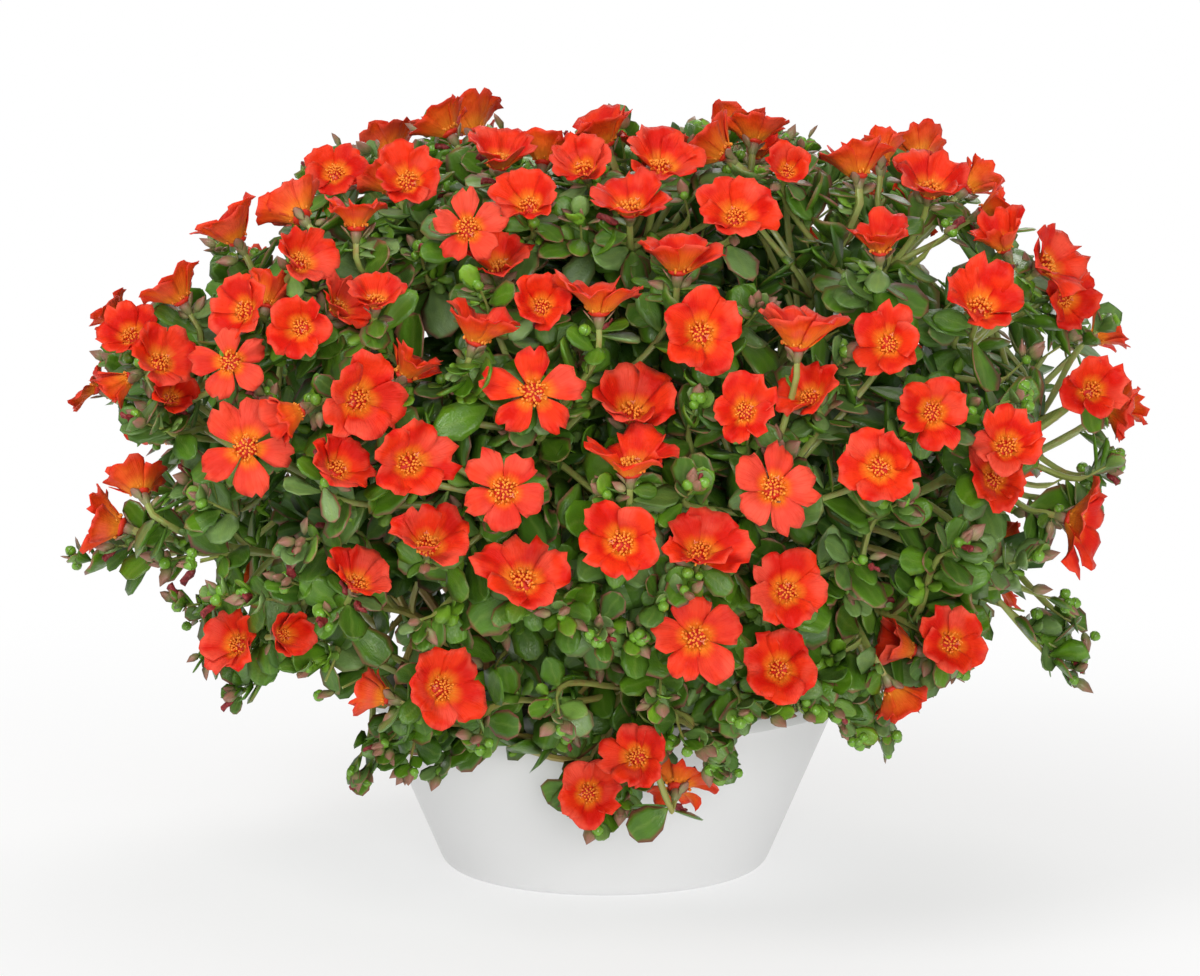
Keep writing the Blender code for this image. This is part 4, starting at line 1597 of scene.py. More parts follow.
def leaf_fits(place, needed):
    """Whether a leaf at a place has the room it needs. Its middle is noted if so."""
    points = points_along(place, LEAF_TEST_POINTS)
    if barred(points) or room().crowded(points[0], needed):
        return False
    room().take(points[0])
    return True


def grow_leaves(number, templates):
    """All leaves of one stem's shoots, as meshes in place."""
    sizes = bpy.context.scene.portulaca_leaf
    dice = random.Random(200 + number)
    parts = []
    for shoot in shoots_of(number):
        lengths = length_back(shoot.route)
        turn = dice.uniform(0, 2 * pi)
        mood = dice.random()
        leafy = not shoot.seat.wide
        inner = shoot.seat.form == "inner"
        for distance in leaf_stations(shoot, lengths[-1], dice):
            point, run = spot_back(shoot.route, lengths, distance)
            splay = sizes.splay + dice.uniform(-0.20, 0.25)
            if leafy:
                splay *= 0.45 + 0.55 * min(distance / FOLDED_LENGTH, 1.0)
            elif distance < SKIRT_LENGTH:
                splay = SKIRT_SPLAY + dice.uniform(-0.1, 0.3)
            size = sizes.length * (INNER_SIZE if inner else leaf_size(distance))
            size *= dice.uniform(0.68, 1.16)
            needed = LEAF_ROOM * (TIP_ROOM_SHARE if distance < TIP_LENGTH else 1.0)
            for attempt in range(LEAF_TRIES):
                roll = dice.uniform(-0.5, 0.5)
                angle = turn + attempt * TURN_EACH_TRY
                place = leaf_place(point, run, angle, splay, size, roll, OFF_STEM)
                if leaf_fits(place, needed):
                    # Leaves of the tips inside the plant take the deep green of painted shade
                    tone = dice.uniform(0.0, 0.3) if inner else age_tone(distance, mood, dice)
                    plain = inner or distance > PLAIN_BEYOND
                    form = templates[-1] if plain else dice.choice(templates[:-1])
                    parts.append(grow(form, place, tone=tone, blush=dice.random() ** 0.9))
                    break
            turn += GOLDEN_ANGLE + dice.uniform(-0.2, 0.2)
            rosettes = ROSETTES_FROM < distance < ROSETTES_TO and not inner
            if rosettes and dice.random() < ROSETTE_SHARE:
                parts += grow_rosette(point, run, turn + 1.0, size, templates[-1], dice)
    return parts


YOUNG_TO = 0.012
YOUNGEST_TO = 0.008
# Leaves farther back from the tip than this get deeper green, a painted shade inside the plant
DEEPER_FROM = 0.03
DEEPER_OVER = 0.06


def age_tone(distance, mood, dice):
    """A leaf's tone: bright where it is young, and deeper far inside the plant, where the deeper green is a
    painted shade.
    """
    young = max(0.0, 1.0 - distance / YOUNG_TO)
    deep = min(max(distance - DEEPER_FROM, 0.0) / DEEPER_OVER, 1.0)
    tone = 0.50 + 0.3 * young - 0.35 * deep + 0.25 * (mood - 0.5) + dice.uniform(-0.24, 0.24)
    return min(max(tone, 0.0), 0.8 if distance > YOUNGEST_TO else 1.0)


def grow_rosette(point, run, turn, size, template, dice):
    """Three to five small bright leaves in the angle of a leaf."""
    way = (run * 0.6 + sideways(run, turn) * 0.8).normalized()
    middle = point + way * ROSETTE_STALK
    parts = []
    for step in range(dice.choice((3, 4, 5))):
        small = size * dice.uniform(0.30, 0.50)
        splay = dice.uniform(0.5, 1.1)
        place = leaf_place(middle, way, step * GOLDEN_ANGLE, splay, small, 0.0, OFF_STEM / 2)
        if not barred(points_along(place, ROSETTE_TEST_POINTS)):
            parts.append(grow(template, place, tone=dice.uniform(0.8, 1.0), blush=0.0))
    return parts


# Flowers

# Each form of open flower: how steeply a petal rises at its foot, middle and tip in degrees,
# its half width there as an angle in degrees, how much of the stated radius it takes, and its
# deepest notch.
PETAL_FORMS = {
    "cup": ((26, 48, 22), (42, 47, 40), 1.02, 1.7),
    "open": ((26, 45, 4), (42, 44, 37), 1.04, 1.5),
    "star": ((38, 18, -8), (30, 33, 24), 1.08, 0.8),
    "half": ((36, 60, 42), (44, 56, 44), 0.84, 1.7),
}

# Radius of the flower that stamens and calyx are modelled for
USUAL_RADIUS = 0.020

PETALS = 5
PETAL_RUNS = 7
PETAL_ALONG = 7
PETAL_ACROSS = 9
PROFILE_STEPS = 24
PETAL_FOOT = 0.05
NOTCH_DEPTH = 0.13
NOTCH_WIDTH = 0.22
TIP_ROUNDING = 0.20
TEETH = 0.15
OVERLAP = 0.030
RUFFLE = 0.26
CREASE = 0.030
CREASE_WIDTH = 0.12
FRAY = 0.085
CRINKLE = 0.095


def between(values, part):
    """A smooth curve through three values at 0, one half and 1."""
    low, middle, high = values
    return (
        low * (1 - part) * (1 - 2 * part)
        + middle * 4 * part * (1 - part)
        + high * part * (2 * part - 1)
    )


def petal_profile(leans):
    """Radius and height along a petal whose tip is at radius 1, as fine points."""
    radius, height, points = 0.0, 0.0, [(0.0, 0.0)]
    for step in range(PROFILE_STEPS):
        lean = radians(between(leans, (step + 0.5) / PROFILE_STEPS))
        radius += cos(lean) / PROFILE_STEPS
        height += sin(lean) / PROFILE_STEPS
        points.append((radius, height))
    scale = (1.0 - PETAL_FOOT) / radius
    return [(PETAL_FOOT + out * scale, up * scale) for out, up in points]


def petal_point(along, across, profile, form, look):
    """Where a point of a flat petal goes, given how far along and across it lies."""
    leans, widths = PETAL_FORMS[form][:2]
    notch = NOTCH_DEPTH * exp(-(across / NOTCH_WIDTH) ** 2) * look.notch
    ragged = TEETH * noise.noise(Vector((3.7 * across, look.seed, 0.0)))
    ragged += FRAY * along ** 3 * noise.noise(Vector((9.3 * across, look.seed + 1.5, 0.0)))
    share = along * (1.0 - TIP_ROUNDING * abs(across) ** 2.6 - notch * along + ragged * along)
    spot = min(max(share, 0.0), 1.0) * (len(profile) - 1)
    low = min(int(spot), len(profile) - 2)
    (near, foot), (far, top) = profile[low], profile[low + 1]
    radius, height = near + (far - near) * (spot - low), foot + (top - foot) * (spot - low)
    lean = radians(between(leans, share))
    wave = RUFFLE * share ** 2 * noise.noise(Vector((1.9 * across, 1.3 * share, look.seed + 3.5)))
    wave += 0.35 * RUFFLE * share ** 4 * noise.noise(Vector((5.0 * across, 0.0, look.seed + 7.5)))
    wave += CRINKLE * share * noise.noise(Vector((4.6 * across, 3.6 * share, look.seed + 11.5)))
    wave += OVERLAP * across - CREASE * exp(-(across / CREASE_WIDTH) ** 2) * share
    wave += look.hollow * share * across ** 2
    turn = radians(between(widths, share)) * across * look.breadth + look.bow * share ** 2
    radius -= wave * sin(lean)
    return Vector((radius * cos(turn), radius * sin(turn), height + wave * cos(lean)))


# What sets one petal apart: its own noise, how deep its notch is, how hollow and broad it is,
# and how it bows sideways
Look = namedtuple("Look", "seed notch hollow breadth bow")


def model_petal(form, run):
    """One petal of a flower of radius 1, from the flower's foot along +X."""
    leans, _, _, deepest_notch = PETAL_FORMS[form]
    profile = petal_profile(leans)
    dice = random.Random(f"{form}{run}")
    look = Look(
        dice.uniform(0, 90), dice.uniform(-0.5, deepest_notch), dice.uniform(-0.04, 0.16),
        dice.uniform(0.92, 1.18), dice.uniform(-0.10, 0.10),
    )
    petal = start_with(
        bpy.ops.mesh.primitive_grid_add, x_subdivisions=PETAL_ALONG,
        y_subdivisions=PETAL_ACROSS, size=2,
    )
    for vertex in petal.data.vertices:
        vertex.co = petal_point((vertex.co.x + 1) / 2, vertex.co.y, profile, form, look)
    choose(petal)
    wall = petal.modifiers.new("Petal thickness", "SOLIDIFY")
    wall.thickness = bpy.context.scene.portulaca_flower.petal_wall / USUAL_RADIUS
    wall.material_offset = 1
    for material in petal_materials():
        petal.data.materials.append(material)
    bpy.ops.object.modifier_apply(modifier=wall.name)
    return make_template(petal)


# Stamens and style of a usual flower
STAMENS = 50
UNSEEN_STAMENS = 28
BUNCHES = 3
BUNCH_RADIUS = 0.0064
FOOT_SHARE = 0.4
FOOT_HEIGHT = 0.0004
INNER_HEIGHT = 0.0066
HEIGHT_FALL = 0.0036
HEIGHT_SPREAD = 0.0010
THREAD_RADII = (0.00024, 0.00016)
ANTHER_RADIUS = 0.00096
ANTHER_SHAPE = (1.0, 0.75, 1.2)
ANTHER_TONES = (0.55, 0.70, 0.80, 0.90, 1.0)
MIDDLE_SHAPE = (0.0054, 0.0054, 0.0021)
MIDDLE_HEIGHT = 0.0012
STYLE_LEAN = 0.003
STYLE_SWAY = 0.004
STYLE_HEIGHT = 0.0068
STYLE_WIDTH = 1.3
STYLE_LOBES = 3
LOBE_SPLAY = 1.1
LOBE_SHAPE = (0.45, 0.45, 0.9, 1)
LOBE_RISE = 0.0006


def model_bead(segments, rings, radius, shape):
    """A ball resized to a bead: an anther, a lobe of the style, or the middle of a flower."""
    bead = start_with(
        bpy.ops.mesh.primitive_uv_sphere_add, segments=segments, ring_count=rings, radius=radius
    )
    resize_all(bead, shape)
    return make_template(bead, stamen_material())


def model_thread():
    """One filament of unit height."""
    low, high = THREAD_RADII
    thread = start_with(
        bpy.ops.mesh.primitive_cone_add, vertices=3, radius1=low, radius2=high, depth=1.0
    )
    thread.data.transform(Matrix.Translation((0, 0, 0.5)))
    return make_template(thread, stamen_material())


def stood(way):
    """The turn that makes +Z point a way."""
    return way.to_track_quat("Z", "Y").to_matrix().to_4x4()


def merged(name, parts, *templates):
    """One mesh of all parts. The templates they were grown from are cleared away."""
    whole = join_up(name, parts)
    for template in templates:
        bpy.data.meshes.remove(template)
    data = whole.data
    bpy.data.objects.remove(whole, do_unlink=True)
    return data


def model_stamens(seed, count):
    """The bunch of stamens of a usual flower, with the lobes of its style."""
    dice = random.Random(seed)
    thread = model_thread()
    anther = model_bead(4, 2, ANTHER_RADIUS, ANTHER_SHAPE)
    middle = model_bead(10, 4, 1.0, MIDDLE_SHAPE)
    parts = []
    for number in range(count):
        share = (number + 0.5) / count
        out, turn = BUNCH_RADIUS * share ** 0.5, number * GOLDEN_ANGLE + dice.uniform(-0.3, 0.3)
        rise = INNER_HEIGHT - HEIGHT_FALL * share + dice.uniform(-HEIGHT_SPREAD, HEIGHT_SPREAD)
        top = Vector((out * cos(turn), out * sin(turn), rise))
        foot = Vector((top.x * FOOT_SHARE, top.y * FOOT_SHARE, FOOT_HEIGHT))
        way = top - foot
        reach = stood(way) @ Matrix.Diagonal((1, 1, way.length, 1))
        tone = dice.uniform(0.10, 0.35)
        parts.append(grow(thread, Matrix.Translation(foot) @ reach, tone=tone))
        tone = dice.choice(ANTHER_TONES)
        turned = Matrix.Translation(top) @ Matrix.Rotation(turn, 4, "Z")
        parts.append(grow(anther, turned, tone=tone))
    aside = dice.choice((-STYLE_LEAN, STYLE_LEAN))
    lean = Vector((aside, dice.uniform(-STYLE_SWAY, STYLE_SWAY), STYLE_HEIGHT))
    reach = Matrix.Diagonal((STYLE_WIDTH, STYLE_WIDTH, lean.length, 1))
    parts.append(grow(thread, stood(lean) @ reach, tone=0.3))
    for lobe in range(STYLE_LOBES):
        turn = Matrix.Rotation(2 * pi * lobe / STYLE_LOBES, 4, "Z")
        turn = turn @ Matrix.Rotation(LOBE_SPLAY, 4, "Y")
        reach = Matrix.Translation((0, 0, LOBE_RISE)) @ Matrix.Diagonal(LOBE_SHAPE)
        parts.append(grow(anther, Matrix.Translation(lean) @ turn @ reach, tone=0.5, blush=1.0))
    parts.append(grow(middle, Matrix.Translation((0, 0, MIDDLE_HEIGHT)), tone=0.32))
    return merged("stamens", parts, thread, anther, middle)


CALYX_STATIONS = ((0.10, 0.0014), (0.30, 0.0021), (0.55, 0.0028), (0.80, 0.0031), (0.97, 0.0022))
CALYX_LENGTH = 0.0085
CALYX_FOOT = -0.0080
SEPAL_LENGTH = 0.0085
SEPAL_LEAN = radians(52)
SEPAL_PLACE = (0.0024, 0, -0.004)


def model_calyx(sepal):
    """The green cup under a usual flower, with its two sepals."""
    pod = model_pod(8, CALYX_STATIONS)
    pod.data.transform(Matrix((
        (0, 1, 0, 0), (0, 0, 1, 0), (CALYX_LENGTH, 0, 0, CALYX_FOOT), (0, 0, 0, 1)
    )))
    cup = make_template(pod, bud_material())
    parts = [grow(cup, Matrix.Identity(4), tone=0.4)]
    for turn in (0, pi):
        lean = Matrix.Rotation(turn, 4, "Z") @ Matrix.Translation(SEPAL_PLACE)
        lean = lean @ Matrix.Rotation(-SEPAL_LEAN, 4, "Y") @ Matrix.Scale(SEPAL_LENGTH, 4)
        parts.append(grow(sepal, lean, tone=0.6))
    return merged("calyx", parts, cup)


class FlowerKit:
    """The templates that every flower is put together from."""

    def __init__(self):
        sepal = model_leaf(LEAF_FORMS[4], material=bud_material())
        self.calyx = model_calyx(sepal)
        self.stamens = [model_stamens(seed, STAMENS) for seed in range(BUNCHES)]
        self.few_stamens = [model_stamens(seed, UNSEEN_STAMENS) for seed in range(BUNCHES)]
        self.petals = {
            form: [model_petal(form, run) for run in range(PETAL_RUNS)] for form in PETAL_FORMS
        }
        bpy.data.meshes.remove(sepal)


@cache
def flower_kit():
    """The flower templates, made once."""
    return FlowerKit()


# The least coral tone of a flower and how much it varies, for stars and for the others. The coral is partly
# the flower's own hue and partly a painted sheen, which the stars that face the viewer get more of.
STAR_SHADES = (0.1, 0.9)
OTHER_SHADES = (0.0, 0.5)
LEAST_BUNCH_RADIUS = 0.016
HALF_OPEN_BUNCH = 0.7


def grow_flower(seat, dice):
    """The meshes of one open flower in place."""
    kit = flower_kit()
    radius = seat.wide / 2 * PETAL_FORMS[seat.form][2]
    stand = Matrix.Translation(seat.place) @ stood(seat.facing)
    stand = stand @ Matrix.Rotation(dice.uniform(0, 2 * pi), 4, "Z")
    least, varied = STAR_SHADES if seat.form == "star" else OTHER_SHADES
    tone = dice.random() * varied + least
    squash = Matrix.Diagonal((dice.uniform(0.90, 1.08), dice.uniform(0.88, 1.06), 1.0, 1.0))
    parts = []
    for number in range(PETALS):
        turn = Matrix.Rotation(2 * pi * number / PETALS + dice.uniform(-0.12, 0.12), 4, "Z")
        tilt = Matrix.Rotation(dice.uniform(-0.20, 0.22), 4, "Y")
        size = Matrix.Scale(radius * dice.uniform(0.90, 1.08), 4)
        template = dice.choice(kit.petals[seat.form])
        own_tone = tone * dice.uniform(0.6, 1.0)
        parts.append(grow(template, stand @ squash @ turn @ tilt @ size, tone=own_tone))
    bunch = max(LEAST_BUNCH_RADIUS, seat.wide / 2) / USUAL_RADIUS
    if seat.form == "half":
        bunch = HALF_OPEN_BUNCH
    stamens = dice.choice(kit.stamens if seat.seen else kit.few_stamens)
    parts.append(grow(stamens, stand @ Matrix.Scale(bunch, 4)))
    parts.append(grow(kit.calyx, stand))
    return parts


# Buds, capsules and withered flowers

BUD_STATIONS = ((0.10, 0.18), (0.30, 0.31), (0.58, 0.29), (0.86, 0.10))
CAPSULE_STATIONS = ((0.12, 0.27), (0.38, 0.46), (0.66, 0.44), (0.92, 0.22))
WITHERED_STATIONS = ((0.12, 0.14), (0.36, 0.24), (0.62, 0.15), (0.88, 0.18))
BUD_FLATNESS = 0.68
WITHERED_FLATNESS = 0.7
WITHERED_TWIST = 2.2
WITHERED_CRUMPLE = 0.10


def model_bud():
    """A closed bud of unit length along +X, keeled on two sides."""
    return make_template(model_pod(6, BUD_STATIONS, BUD_FLATNESS), bud_material())


def model_capsule():
    """A round seed capsule of unit length along +X."""
    return make_template(model_pod(7, CAPSULE_STATIONS), capsule_material())


def model_withered():
    """A spent flower of unit length along +X, crumpled and twisted."""
    spent = model_pod(6, WITHERED_STATIONS, WITHERED_FLATNESS)
    for vertex in spent.data.vertices:
        turn = Matrix.Rotation(WITHERED_TWIST * vertex.co.x, 3, "X")
        vertex.co = turn @ vertex.co
        crumple = WITHERED_CRUMPLE * Vector(noise.noise_vector(vertex.co * 4.0))
        vertex.co += crumple * min(vertex.co.x * 2, 1.0)
    return make_template(spent, withered_material())


def model_bract():
    """A small pointed leaf below a bud, of unit length along +X."""
    return model_leaf(BRACT, PLAIN_ACROSS, bud_material())


# How often a cluster holds a bud, a capsule, a spent flower and a bract
KIND_WEIGHTS = (3.5, 3.8, 0.9, 3.2)
COUNTS_BELOW_FLOWER = (3, 4, 5, 6)
COUNTS_AT_TIP = (5, 6, 7, 8, 9)
CLUSTER_BELOW_FLOWER = 0.0085
CLUSTER_BELOW_TIP = 0.001


def grow_cluster(shoot, kit, dice):
    """The buds, capsules, spent flowers and bracts at a shoot's tip."""
    sizes = bpy.context.scene.portulaca_cluster
    flowering = bool(shoot.seat.wide)
    if shoot.seat.form == "inner":
        return []
    below = CLUSTER_BELOW_FLOWER if flowering else CLUSTER_BELOW_TIP
    point, run = spot_back(shoot.route, length_back(shoot.route), below)
    count = dice.choice(COUNTS_BELOW_FLOWER if flowering else COUNTS_AT_TIP)
    parts = []
    for number in range(count):
        turn = number * 2 * pi / count + dice.uniform(-0.4, 0.4)
        side = sideways(run, turn)
        lean = dice.uniform(0.8, 1.35) if flowering else dice.uniform(0.15, 0.85) * min(number, 1)
        kind = dice.choices(tuple(kit), KIND_WEIGHTS)[0]
        if kind == "bract" and number:
            lean = dice.uniform(0.9, 1.4)
        way = (run * cos(lean) + side * sin(lean)).normalized()
        start = point + way * dice.uniform(0.001, 0.006)
        size = getattr(sizes, kind + "_length") * dice.uniform(0.75, 1.15)
        place = leaf_place(start, way, dice.uniform(0, 6), 0.0, size, 0.0, 0.0)
        at_end = number == 0 and not flowering
        if at_end or not barred(points_along(place, (1,))):
            parts.append(grow(kit[kind], place, tone=dice.random()))
    return parts


# Stage

# Name, place and width of each lamp
LAMPS = (
    ("key", (-1.3, -1.5, 2.1), 1.4),
    ("fill", (0.5, -2.6, 0.7), 1.2),
    ("rim", (0.5, 1.7, 1.8), 1.4),
)
FLOOR_RADIUS = 30.0
FADE_FROM = 0.16
FADE_TO = 0.9
FADE_LEAST = 0.62
WHITE = (1.0, 1.0, 1.0, 1.0)


def add_lamp(name, place, size, power):
    """A soft area lamp that points at the plant."""
    lamp = bpy.data.lights.new(name, "AREA")
    lamp.shape = "DISK"
    lamp.size = size
    lamp.energy = power
    thing = bpy.data.objects.new(name, lamp)
    bpy.context.scene.collection.objects.link(thing)
    thing.location = place
    thing.rotation_mode = "QUATERNION"
    thing.rotation_quaternion = (VIEW_TARGET - Vector(place)).to_track_quat("-Z", "Y")


def make_floor():
    """A pale floor that fades into the white surroundings."""
    floor = start_with(
        bpy.ops.mesh.primitive_circle_add, vertices=96, radius=FLOOR_RADIUS, fill_type="NGON"
    )
    floor.name = "floor"
    material, tree, shader = new_material("floor_white")
    where = add_node(tree, "TexCoord").outputs["Object"]
    reach = add_node(tree, "VectorMath", operation="LENGTH")
    tree.links.new(where, reach.inputs[0])
    fade = spread(tree, reach.outputs["Value"], FADE_FROM, FADE_TO, FADE_LEAST, 1.0)
    glow = set_inputs(add_node(tree, "Emission"), Color=WHITE)
    blend = add_node(tree, "MixShader")
    tree.links.new(fade, blend.inputs[0])
    set_inputs(shader, Roughness=0.8, Specular_IOR_Level=0.1, Base_Color=(0.92, 0.92, 0.92, 1.0))
    tree.links.new(shader.outputs[0], blend.inputs[1])
    tree.links.new(glow.outputs[0], blend.inputs[2])
    tree.links.new(blend.outputs[0], tree.nodes["Material Output"].inputs["Surface"])
    floor.data.materials.append(material)


def make_surroundings(strength):
    """White all round as in a studio tent, with dimmer light from the two sides."""
    world = bpy.data.worlds.new("studio")
    bpy.context.scene.world = world
    world.use_nodes = True
    tree = world.node_tree
    light = tree.nodes["Background"]
    split = add_node(tree, "SeparateXYZ")
    tree.links.new(add_node(tree, "TexCoord").outputs["Generated"], split.inputs[0])
    shade_up = ramp(
        tree, split.outputs[2],
        ((0.0, (1.0, 1.0, 1.0)), (0.5, (0.90, 0.90, 0.88)), (1.0, (0.92, 0.92, 0.90))),
    )
    aside = figured(tree, "POWER", figured(tree, "ABSOLUTE", split.outputs[0], 0.0), 2.0)
    dimmed = mixed(tree, spread(tree, aside, 0.0, 1.0, 0.0, 0.7), shade_up, (0.35, 0.35, 0.35, 1.0))
    tree.links.new(dimmed, light.inputs[0])
    light.inputs[1].default_value = strength
    seen = set_inputs(add_node(tree, "Background"), Color=WHITE)
    path = add_node(tree, "LightPath")
    pick = add_node(tree, "MixShader")
    tree.links.new(path.outputs["Is Camera Ray"], pick.inputs[0])
    tree.links.new(light.outputs[0], pick.inputs[1])
    tree.links.new(seen.outputs[0], pick.inputs[2])
    tree.links.new(pick.outputs[0], tree.nodes["World Output"].inputs["Surface"])


def make_camera():
    """The camera of the first view."""
    near = view_axes()[2]
    camera = bpy.data.objects.new("camera", bpy.data.cameras.new("camera"))
    bpy.context.scene.collection.objects.link(camera)
    camera.data.sensor_width = SENSOR
    camera.data.lens = PICTURE_FOCUS / PICTURE_WIDTH * SENSOR
    camera.location = viewer()
    camera.rotation_mode = "QUATERNION"
    camera.rotation_quaternion = (-near).to_track_quat("-Z", "Y")
    bpy.context.scene.camera = camera


# Settings that a user would change

def colour(name, text, value):
    """A colour property."""
    return FloatVectorProperty(
        name=name, description=text, default=value, size=3, subtype="COLOR", min=0, max=1
    )


def length(name, text, value):
    """A length property in metres."""
    return FloatProperty(name=name, description=text, default=value, min=0, unit="LENGTH", precision=5)


def power(name, text, value):
    """A lamp's power property in watts."""
    return FloatProperty(name=name, description=text, default=value, min=0, unit="POWER")


class PortulacaBowl(PropertyGroup):
    """The bowl and its soil."""

    wall: length("Wall", "Thickness of the bowl's wall", 0.0030)
    colour: colour("White", "Colour of the bowl's plastic", (0.78, 0.78, 0.78))
    soil_colour: colour("Soil", "Colour of the peat", (0.045, 0.028, 0.018))
    grain_colour: colour("Grain", "Colour of the few pale grains", (0.42, 0.40, 0.35))


class PortulacaShoot(PropertyGroup):
    """The stems."""

    stem_radius: length("Stem radius", "Radius of a main stem at the soil", 0.0025)
    twig_radius: length("Twig radius", "Radius of a main twig", 0.0021)
    side_radius: length("Side radius", "Radius of a side shoot", 0.0018)
    green_colour: colour("Green", "Stem colour near the tips", (0.30, 0.36, 0.085))
    olive_colour: colour("Olive", "Stem colour halfway", (0.36, 0.29, 0.07))
    red_colour: colour("Red", "Stem colour inside the plant", (0.38, 0.16, 0.06))


class PortulacaLeaf(PropertyGroup):
    """The leaves."""

    length: length("Length", "Length of a full-grown leaf", 0.0245)
    splay: FloatProperty(
        name="Splay", description="How far a leaf leans from its stem", default=radians(62), subtype="ANGLE"
    )
    young_colour: colour("Young", "Colour of the youngest leaves", (0.19, 0.39, 0.020))
    fresh_colour: colour("Fresh", "Colour of leaves near the tips", (0.110, 0.258, 0.010))
    # Pale: a grey bloom, and partly a painted sheen
    pale_colour: colour("Pale", "Colour of leaves with a grey bloom", (0.195, 0.310, 0.100))
    grown_colour: colour("Grown", "Colour of full-grown leaves", (0.074, 0.180, 0.012))
    # Deep: a painted shade for the leaves inside the plant
    deep_and_shade_colour: colour("Deep", "Colour of leaves inside the plant", (0.036, 0.105, 0.010))
    rib_colour: colour("Rib", "Colour of the midrib and stalk end", (0.24, 0.37, 0.065))
    edge_colour: colour("Edge", "Colour of a blushed edge", (0.33, 0.085, 0.075))


class PortulacaFlower(PropertyGroup):
    """The open flowers."""

    petal_wall: length("Petal", "Thickness of a petal", 0.00035)
    vivid_colour: colour("Vivid", "Main petal colour", (0.81, 0.036, 0.006))
    # Coral: the paler hue of some flowers, and also the colour of the painted highlights and sheen
    coral_and_sheen_colour: colour("Coral", "Paler petal colour", (0.85, 0.100, 0.055))
    # Deep red: the colour of the streaks and the dark foot, and also the painted shade in the petals' folds
    deep_and_shade_colour: colour("Deep", "Colour of folds and streaks", (0.64, 0.009, 0.003))
    gold_colour: colour("Gold", "Colour round the stamens", (0.90, 0.27, 0.02))
    pollen_colour: colour("Pollen", "Colour of the anthers", (1.0, 0.39, 0.035))
    style_colour: colour("Style", "Colour of the style's lobes", (0.85, 0.27, 0.14))


class PortulacaCluster(PropertyGroup):
    """Buds, capsules and spent flowers."""

    bud_length: length("Bud", "Length of a closed bud", 0.0112)
    capsule_length: length("Capsule", "Length of a seed capsule", 0.0066)
    bract_length: length("Bract", "Length of a pointed leaf below the buds", 0.0105)
    withered_length: length("Spent flower", "Length of a spent flower", 0.0110)
    green_colour: colour("Green", "Foot of a bud", (0.11, 0.17, 0.035))
    tan_colour: colour("Tan", "Skin of an older bud", (0.44, 0.34, 0.17))
    blush_colour: colour("Blush", "Point of a bud", (0.34, 0.13, 0.10))
    capsule_colour: colour("Capsule", "Skin of a capsule", (0.17, 0.38, 0.028))
    withered_colour: colour("Spent", "Spent petals", (0.28, 0.018, 0.022))


class PortulacaStudio(PropertyGroup):
    """The stage."""

    surroundings: FloatProperty(
        name="Surroundings", description="Strength of the white tent", default=0.52, min=0
    )
    key: power("Key", "Power of the main lamp", 33.5)
    fill: power("Fill", "Power of the lamp beside the viewer", 30.0)
    rim: power("Rim", "Power of the lamp behind", 20.0)


# Operators

class PORTULACA_OT_stage(Operator):
    """Set up the camera, the pale floor and the soft lamps"""

    bl_idname = "portulaca.stage"
    bl_label = "Stage"

    def execute(self, context):
        """Make the stage."""
        studio = context.scene.portulaca_studio
        context.scene.view_settings.view_transform = "Standard"
        make_camera()
        make_floor()
        make_surroundings(studio.surroundings)
        for name, place, size in LAMPS:
            add_lamp(name, place, size, getattr(studio, name))
        return {"FINISHED"}


class PORTULACA_OT_bowl(Operator):
    """Model the white bowl"""

    bl_idname = "portulaca.bowl"
    bl_label = "Bowl"

    def execute(self, context):
        """Make the bowl in place of its node."""
        bowl = model_bowl(context.scene.portulaca_bowl.wall)
        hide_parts("pot")
        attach(bowl, "root")
        return {"FINISHED"}


class PORTULACA_OT_soil(Operator):
    """Model the soil and its crumbs"""

    bl_idname = "portulaca.soil"
    bl_label = "Soil"

    def execute(self, context):
        """Make the soil in place of its node."""
        soil = model_soil(context.scene.portulaca_bowl.wall)
        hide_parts("soil")
        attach(soil, "root")
        return {"FINISHED"}


class PORTULACA_OT_stems(Operator):
    """Model the stems of every shoot"""

    bl_idname = "portulaca.stems"
    bl_label = "Stems"

    def execute(self, context):
        """Make one piece of stems in place of each stem's node."""
        for number in stem_numbers():
            stems = model_stem(number)
            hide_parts(stem_name(number))
            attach(stems, "root")
        return {"FINISHED"}


class PORTULACA_OT_leaves(Operator):
    """Grow the leaves on every shoot"""

    bl_idname = "portulaca.leaves"
    bl_label = "Leaves"

    def execute(self, context):
        """Make one piece of leaves for each stem."""
        templates = [model_leaf(form) for form in LEAF_FORMS]
        templates.append(model_leaf(PLAIN_LEAF, PLAIN_ACROSS))
        for number in stem_numbers():
            leaves = join_up(numbered("leaves", number), grow_leaves(number, templates))
            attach(leaves, "root")
        for template in templates:
            bpy.data.meshes.remove(template)
        return {"FINISHED"}


class PORTULACA_OT_flowers(Operator):
    """Put together the open flowers"""

    bl_idname = "portulaca.flowers"
    bl_label = "Flowers"

    def execute(self, context):
        """Make a piece for each flower node, and one for each stem's other flowers."""
        dice = random.Random(77)
        order = 0
        for number in stem_numbers():
            others = []
            for shoot in shoots_of(number):
                if not shoot.seat.wide:
                    continue
                parts = grow_flower(shoot.seat, dice)
                if shoot.main:
                    order += 1
                    flower = join_up(f"bloom_{order:02d}", parts)
                    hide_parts(f"flower_{order:02d}")
                    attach(flower, "root")
                else:
                    others += parts
            if others:
                flowers = join_up(numbered("side_blooms", number), others)
                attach(flowers, "root")
        return {"FINISHED"}


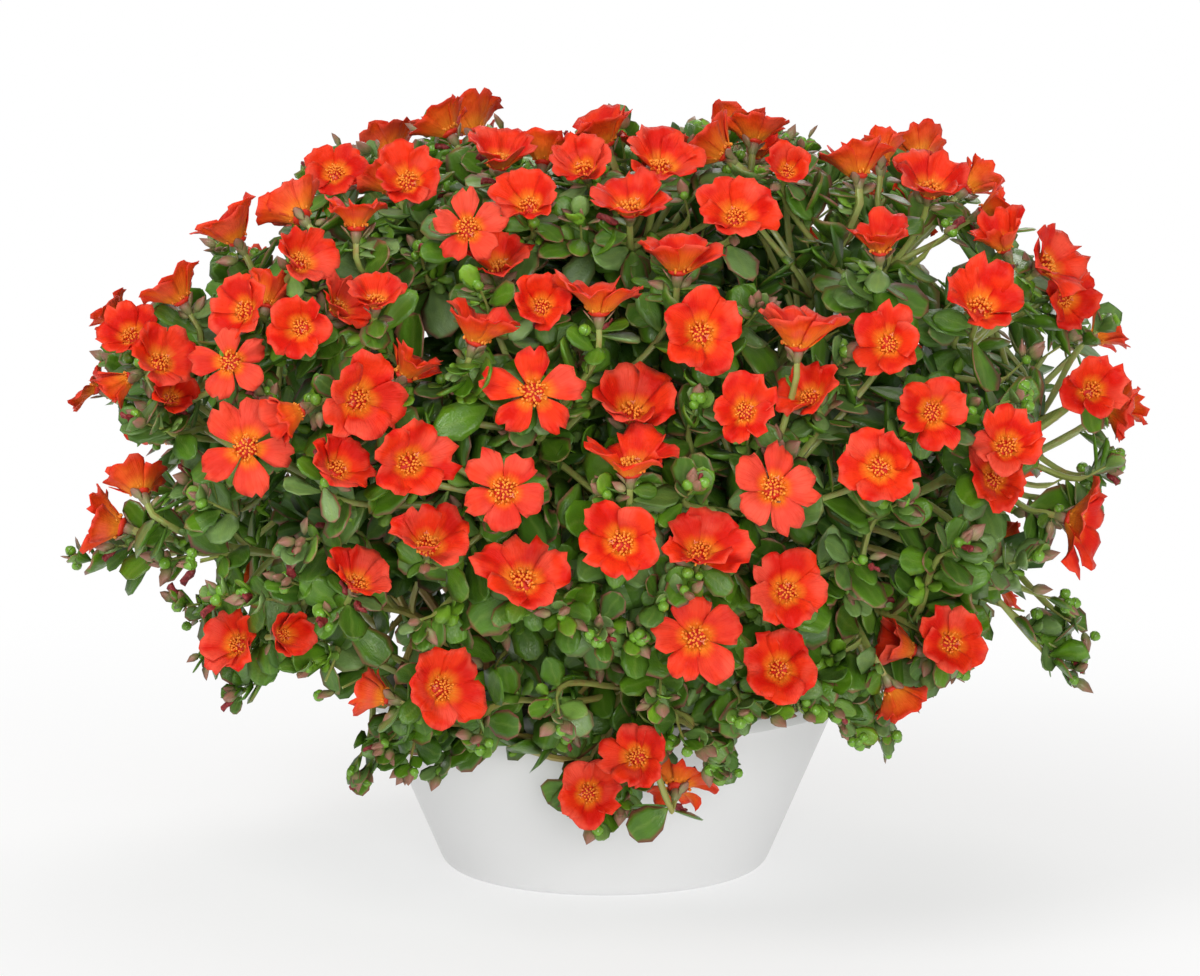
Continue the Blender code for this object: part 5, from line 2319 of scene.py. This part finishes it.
class PORTULACA_OT_buds(Operator):
    """Grow the buds, seed capsules and spent flowers"""

    bl_idname = "portulaca.buds"
    bl_label = "Buds"

    def execute(self, context):
        """Make one piece of buds for each stem."""
        kit = {
            "bud": model_bud(), "capsule": model_capsule(), "withered": model_withered(),
            "bract": model_bract(),
        }
        for number in stem_numbers():
            dice = random.Random(300 + number)
            parts = []
            for shoot in shoots_of(number):
                parts += grow_cluster(shoot, kit, dice)
            buds = join_up(numbered("buds", number), parts)
            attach(buds, "root")
        for template in kit.values():
            bpy.data.meshes.remove(template)
        return {"FINISHED"}


class PORTULACA_PT_panel(Panel):
    """Lists the steps that build the potted plant"""

    bl_label = "Portulaca"
    bl_idname = "PORTULACA_PT_panel"
    bl_space_type = "VIEW_3D"
    bl_region_type = "UI"
    bl_category = "Portulaca"

    def draw(self, context):
        """Draw one button for each step."""
        for step in STEPS:
            self.layout.operator(step.bl_idname)


def stem_numbers():
    """The numbers of the main stems."""
    return range(len(FRONT_SHOOTS) + len(BACK_SHOOTS))


STEPS = (
    PORTULACA_OT_stage,
    PORTULACA_OT_bowl,
    PORTULACA_OT_soil,
    PORTULACA_OT_stems,
    PORTULACA_OT_flowers,
    PORTULACA_OT_leaves,
    PORTULACA_OT_buds,
)
GROUPS = {
    "portulaca_bowl": PortulacaBowl,
    "portulaca_shoot": PortulacaShoot,
    "portulaca_leaf": PortulacaLeaf,
    "portulaca_flower": PortulacaFlower,
    "portulaca_cluster": PortulacaCluster,
    "portulaca_studio": PortulacaStudio,
}


def register():
    """Register the settings, the operators and the panel."""
    for name, group in GROUPS.items():
        bpy.utils.register_class(group)
        setattr(bpy.types.Scene, name, PointerProperty(type=group))
    for step in STEPS:
        bpy.utils.register_class(step)
    bpy.utils.register_class(PORTULACA_PT_panel)


def unregister():
    """Undo register."""
    bpy.utils.unregister_class(PORTULACA_PT_panel)
    for step in reversed(STEPS):
        bpy.utils.unregister_class(step)
    for name, group in reversed(GROUPS.items()):
        delattr(bpy.types.Scene, name)
        bpy.utils.unregister_class(group)


def main():
    """Build the potted plant step by step."""
    register()
    bpy.ops.portulaca.stage()
    bpy.ops.portulaca.bowl()
    bpy.ops.portulaca.soil()
    bpy.ops.portulaca.stems()
    bpy.ops.portulaca.flowers()
    bpy.ops.portulaca.leaves()
    bpy.ops.portulaca.buds()


if __name__ == "__main__":
    main()
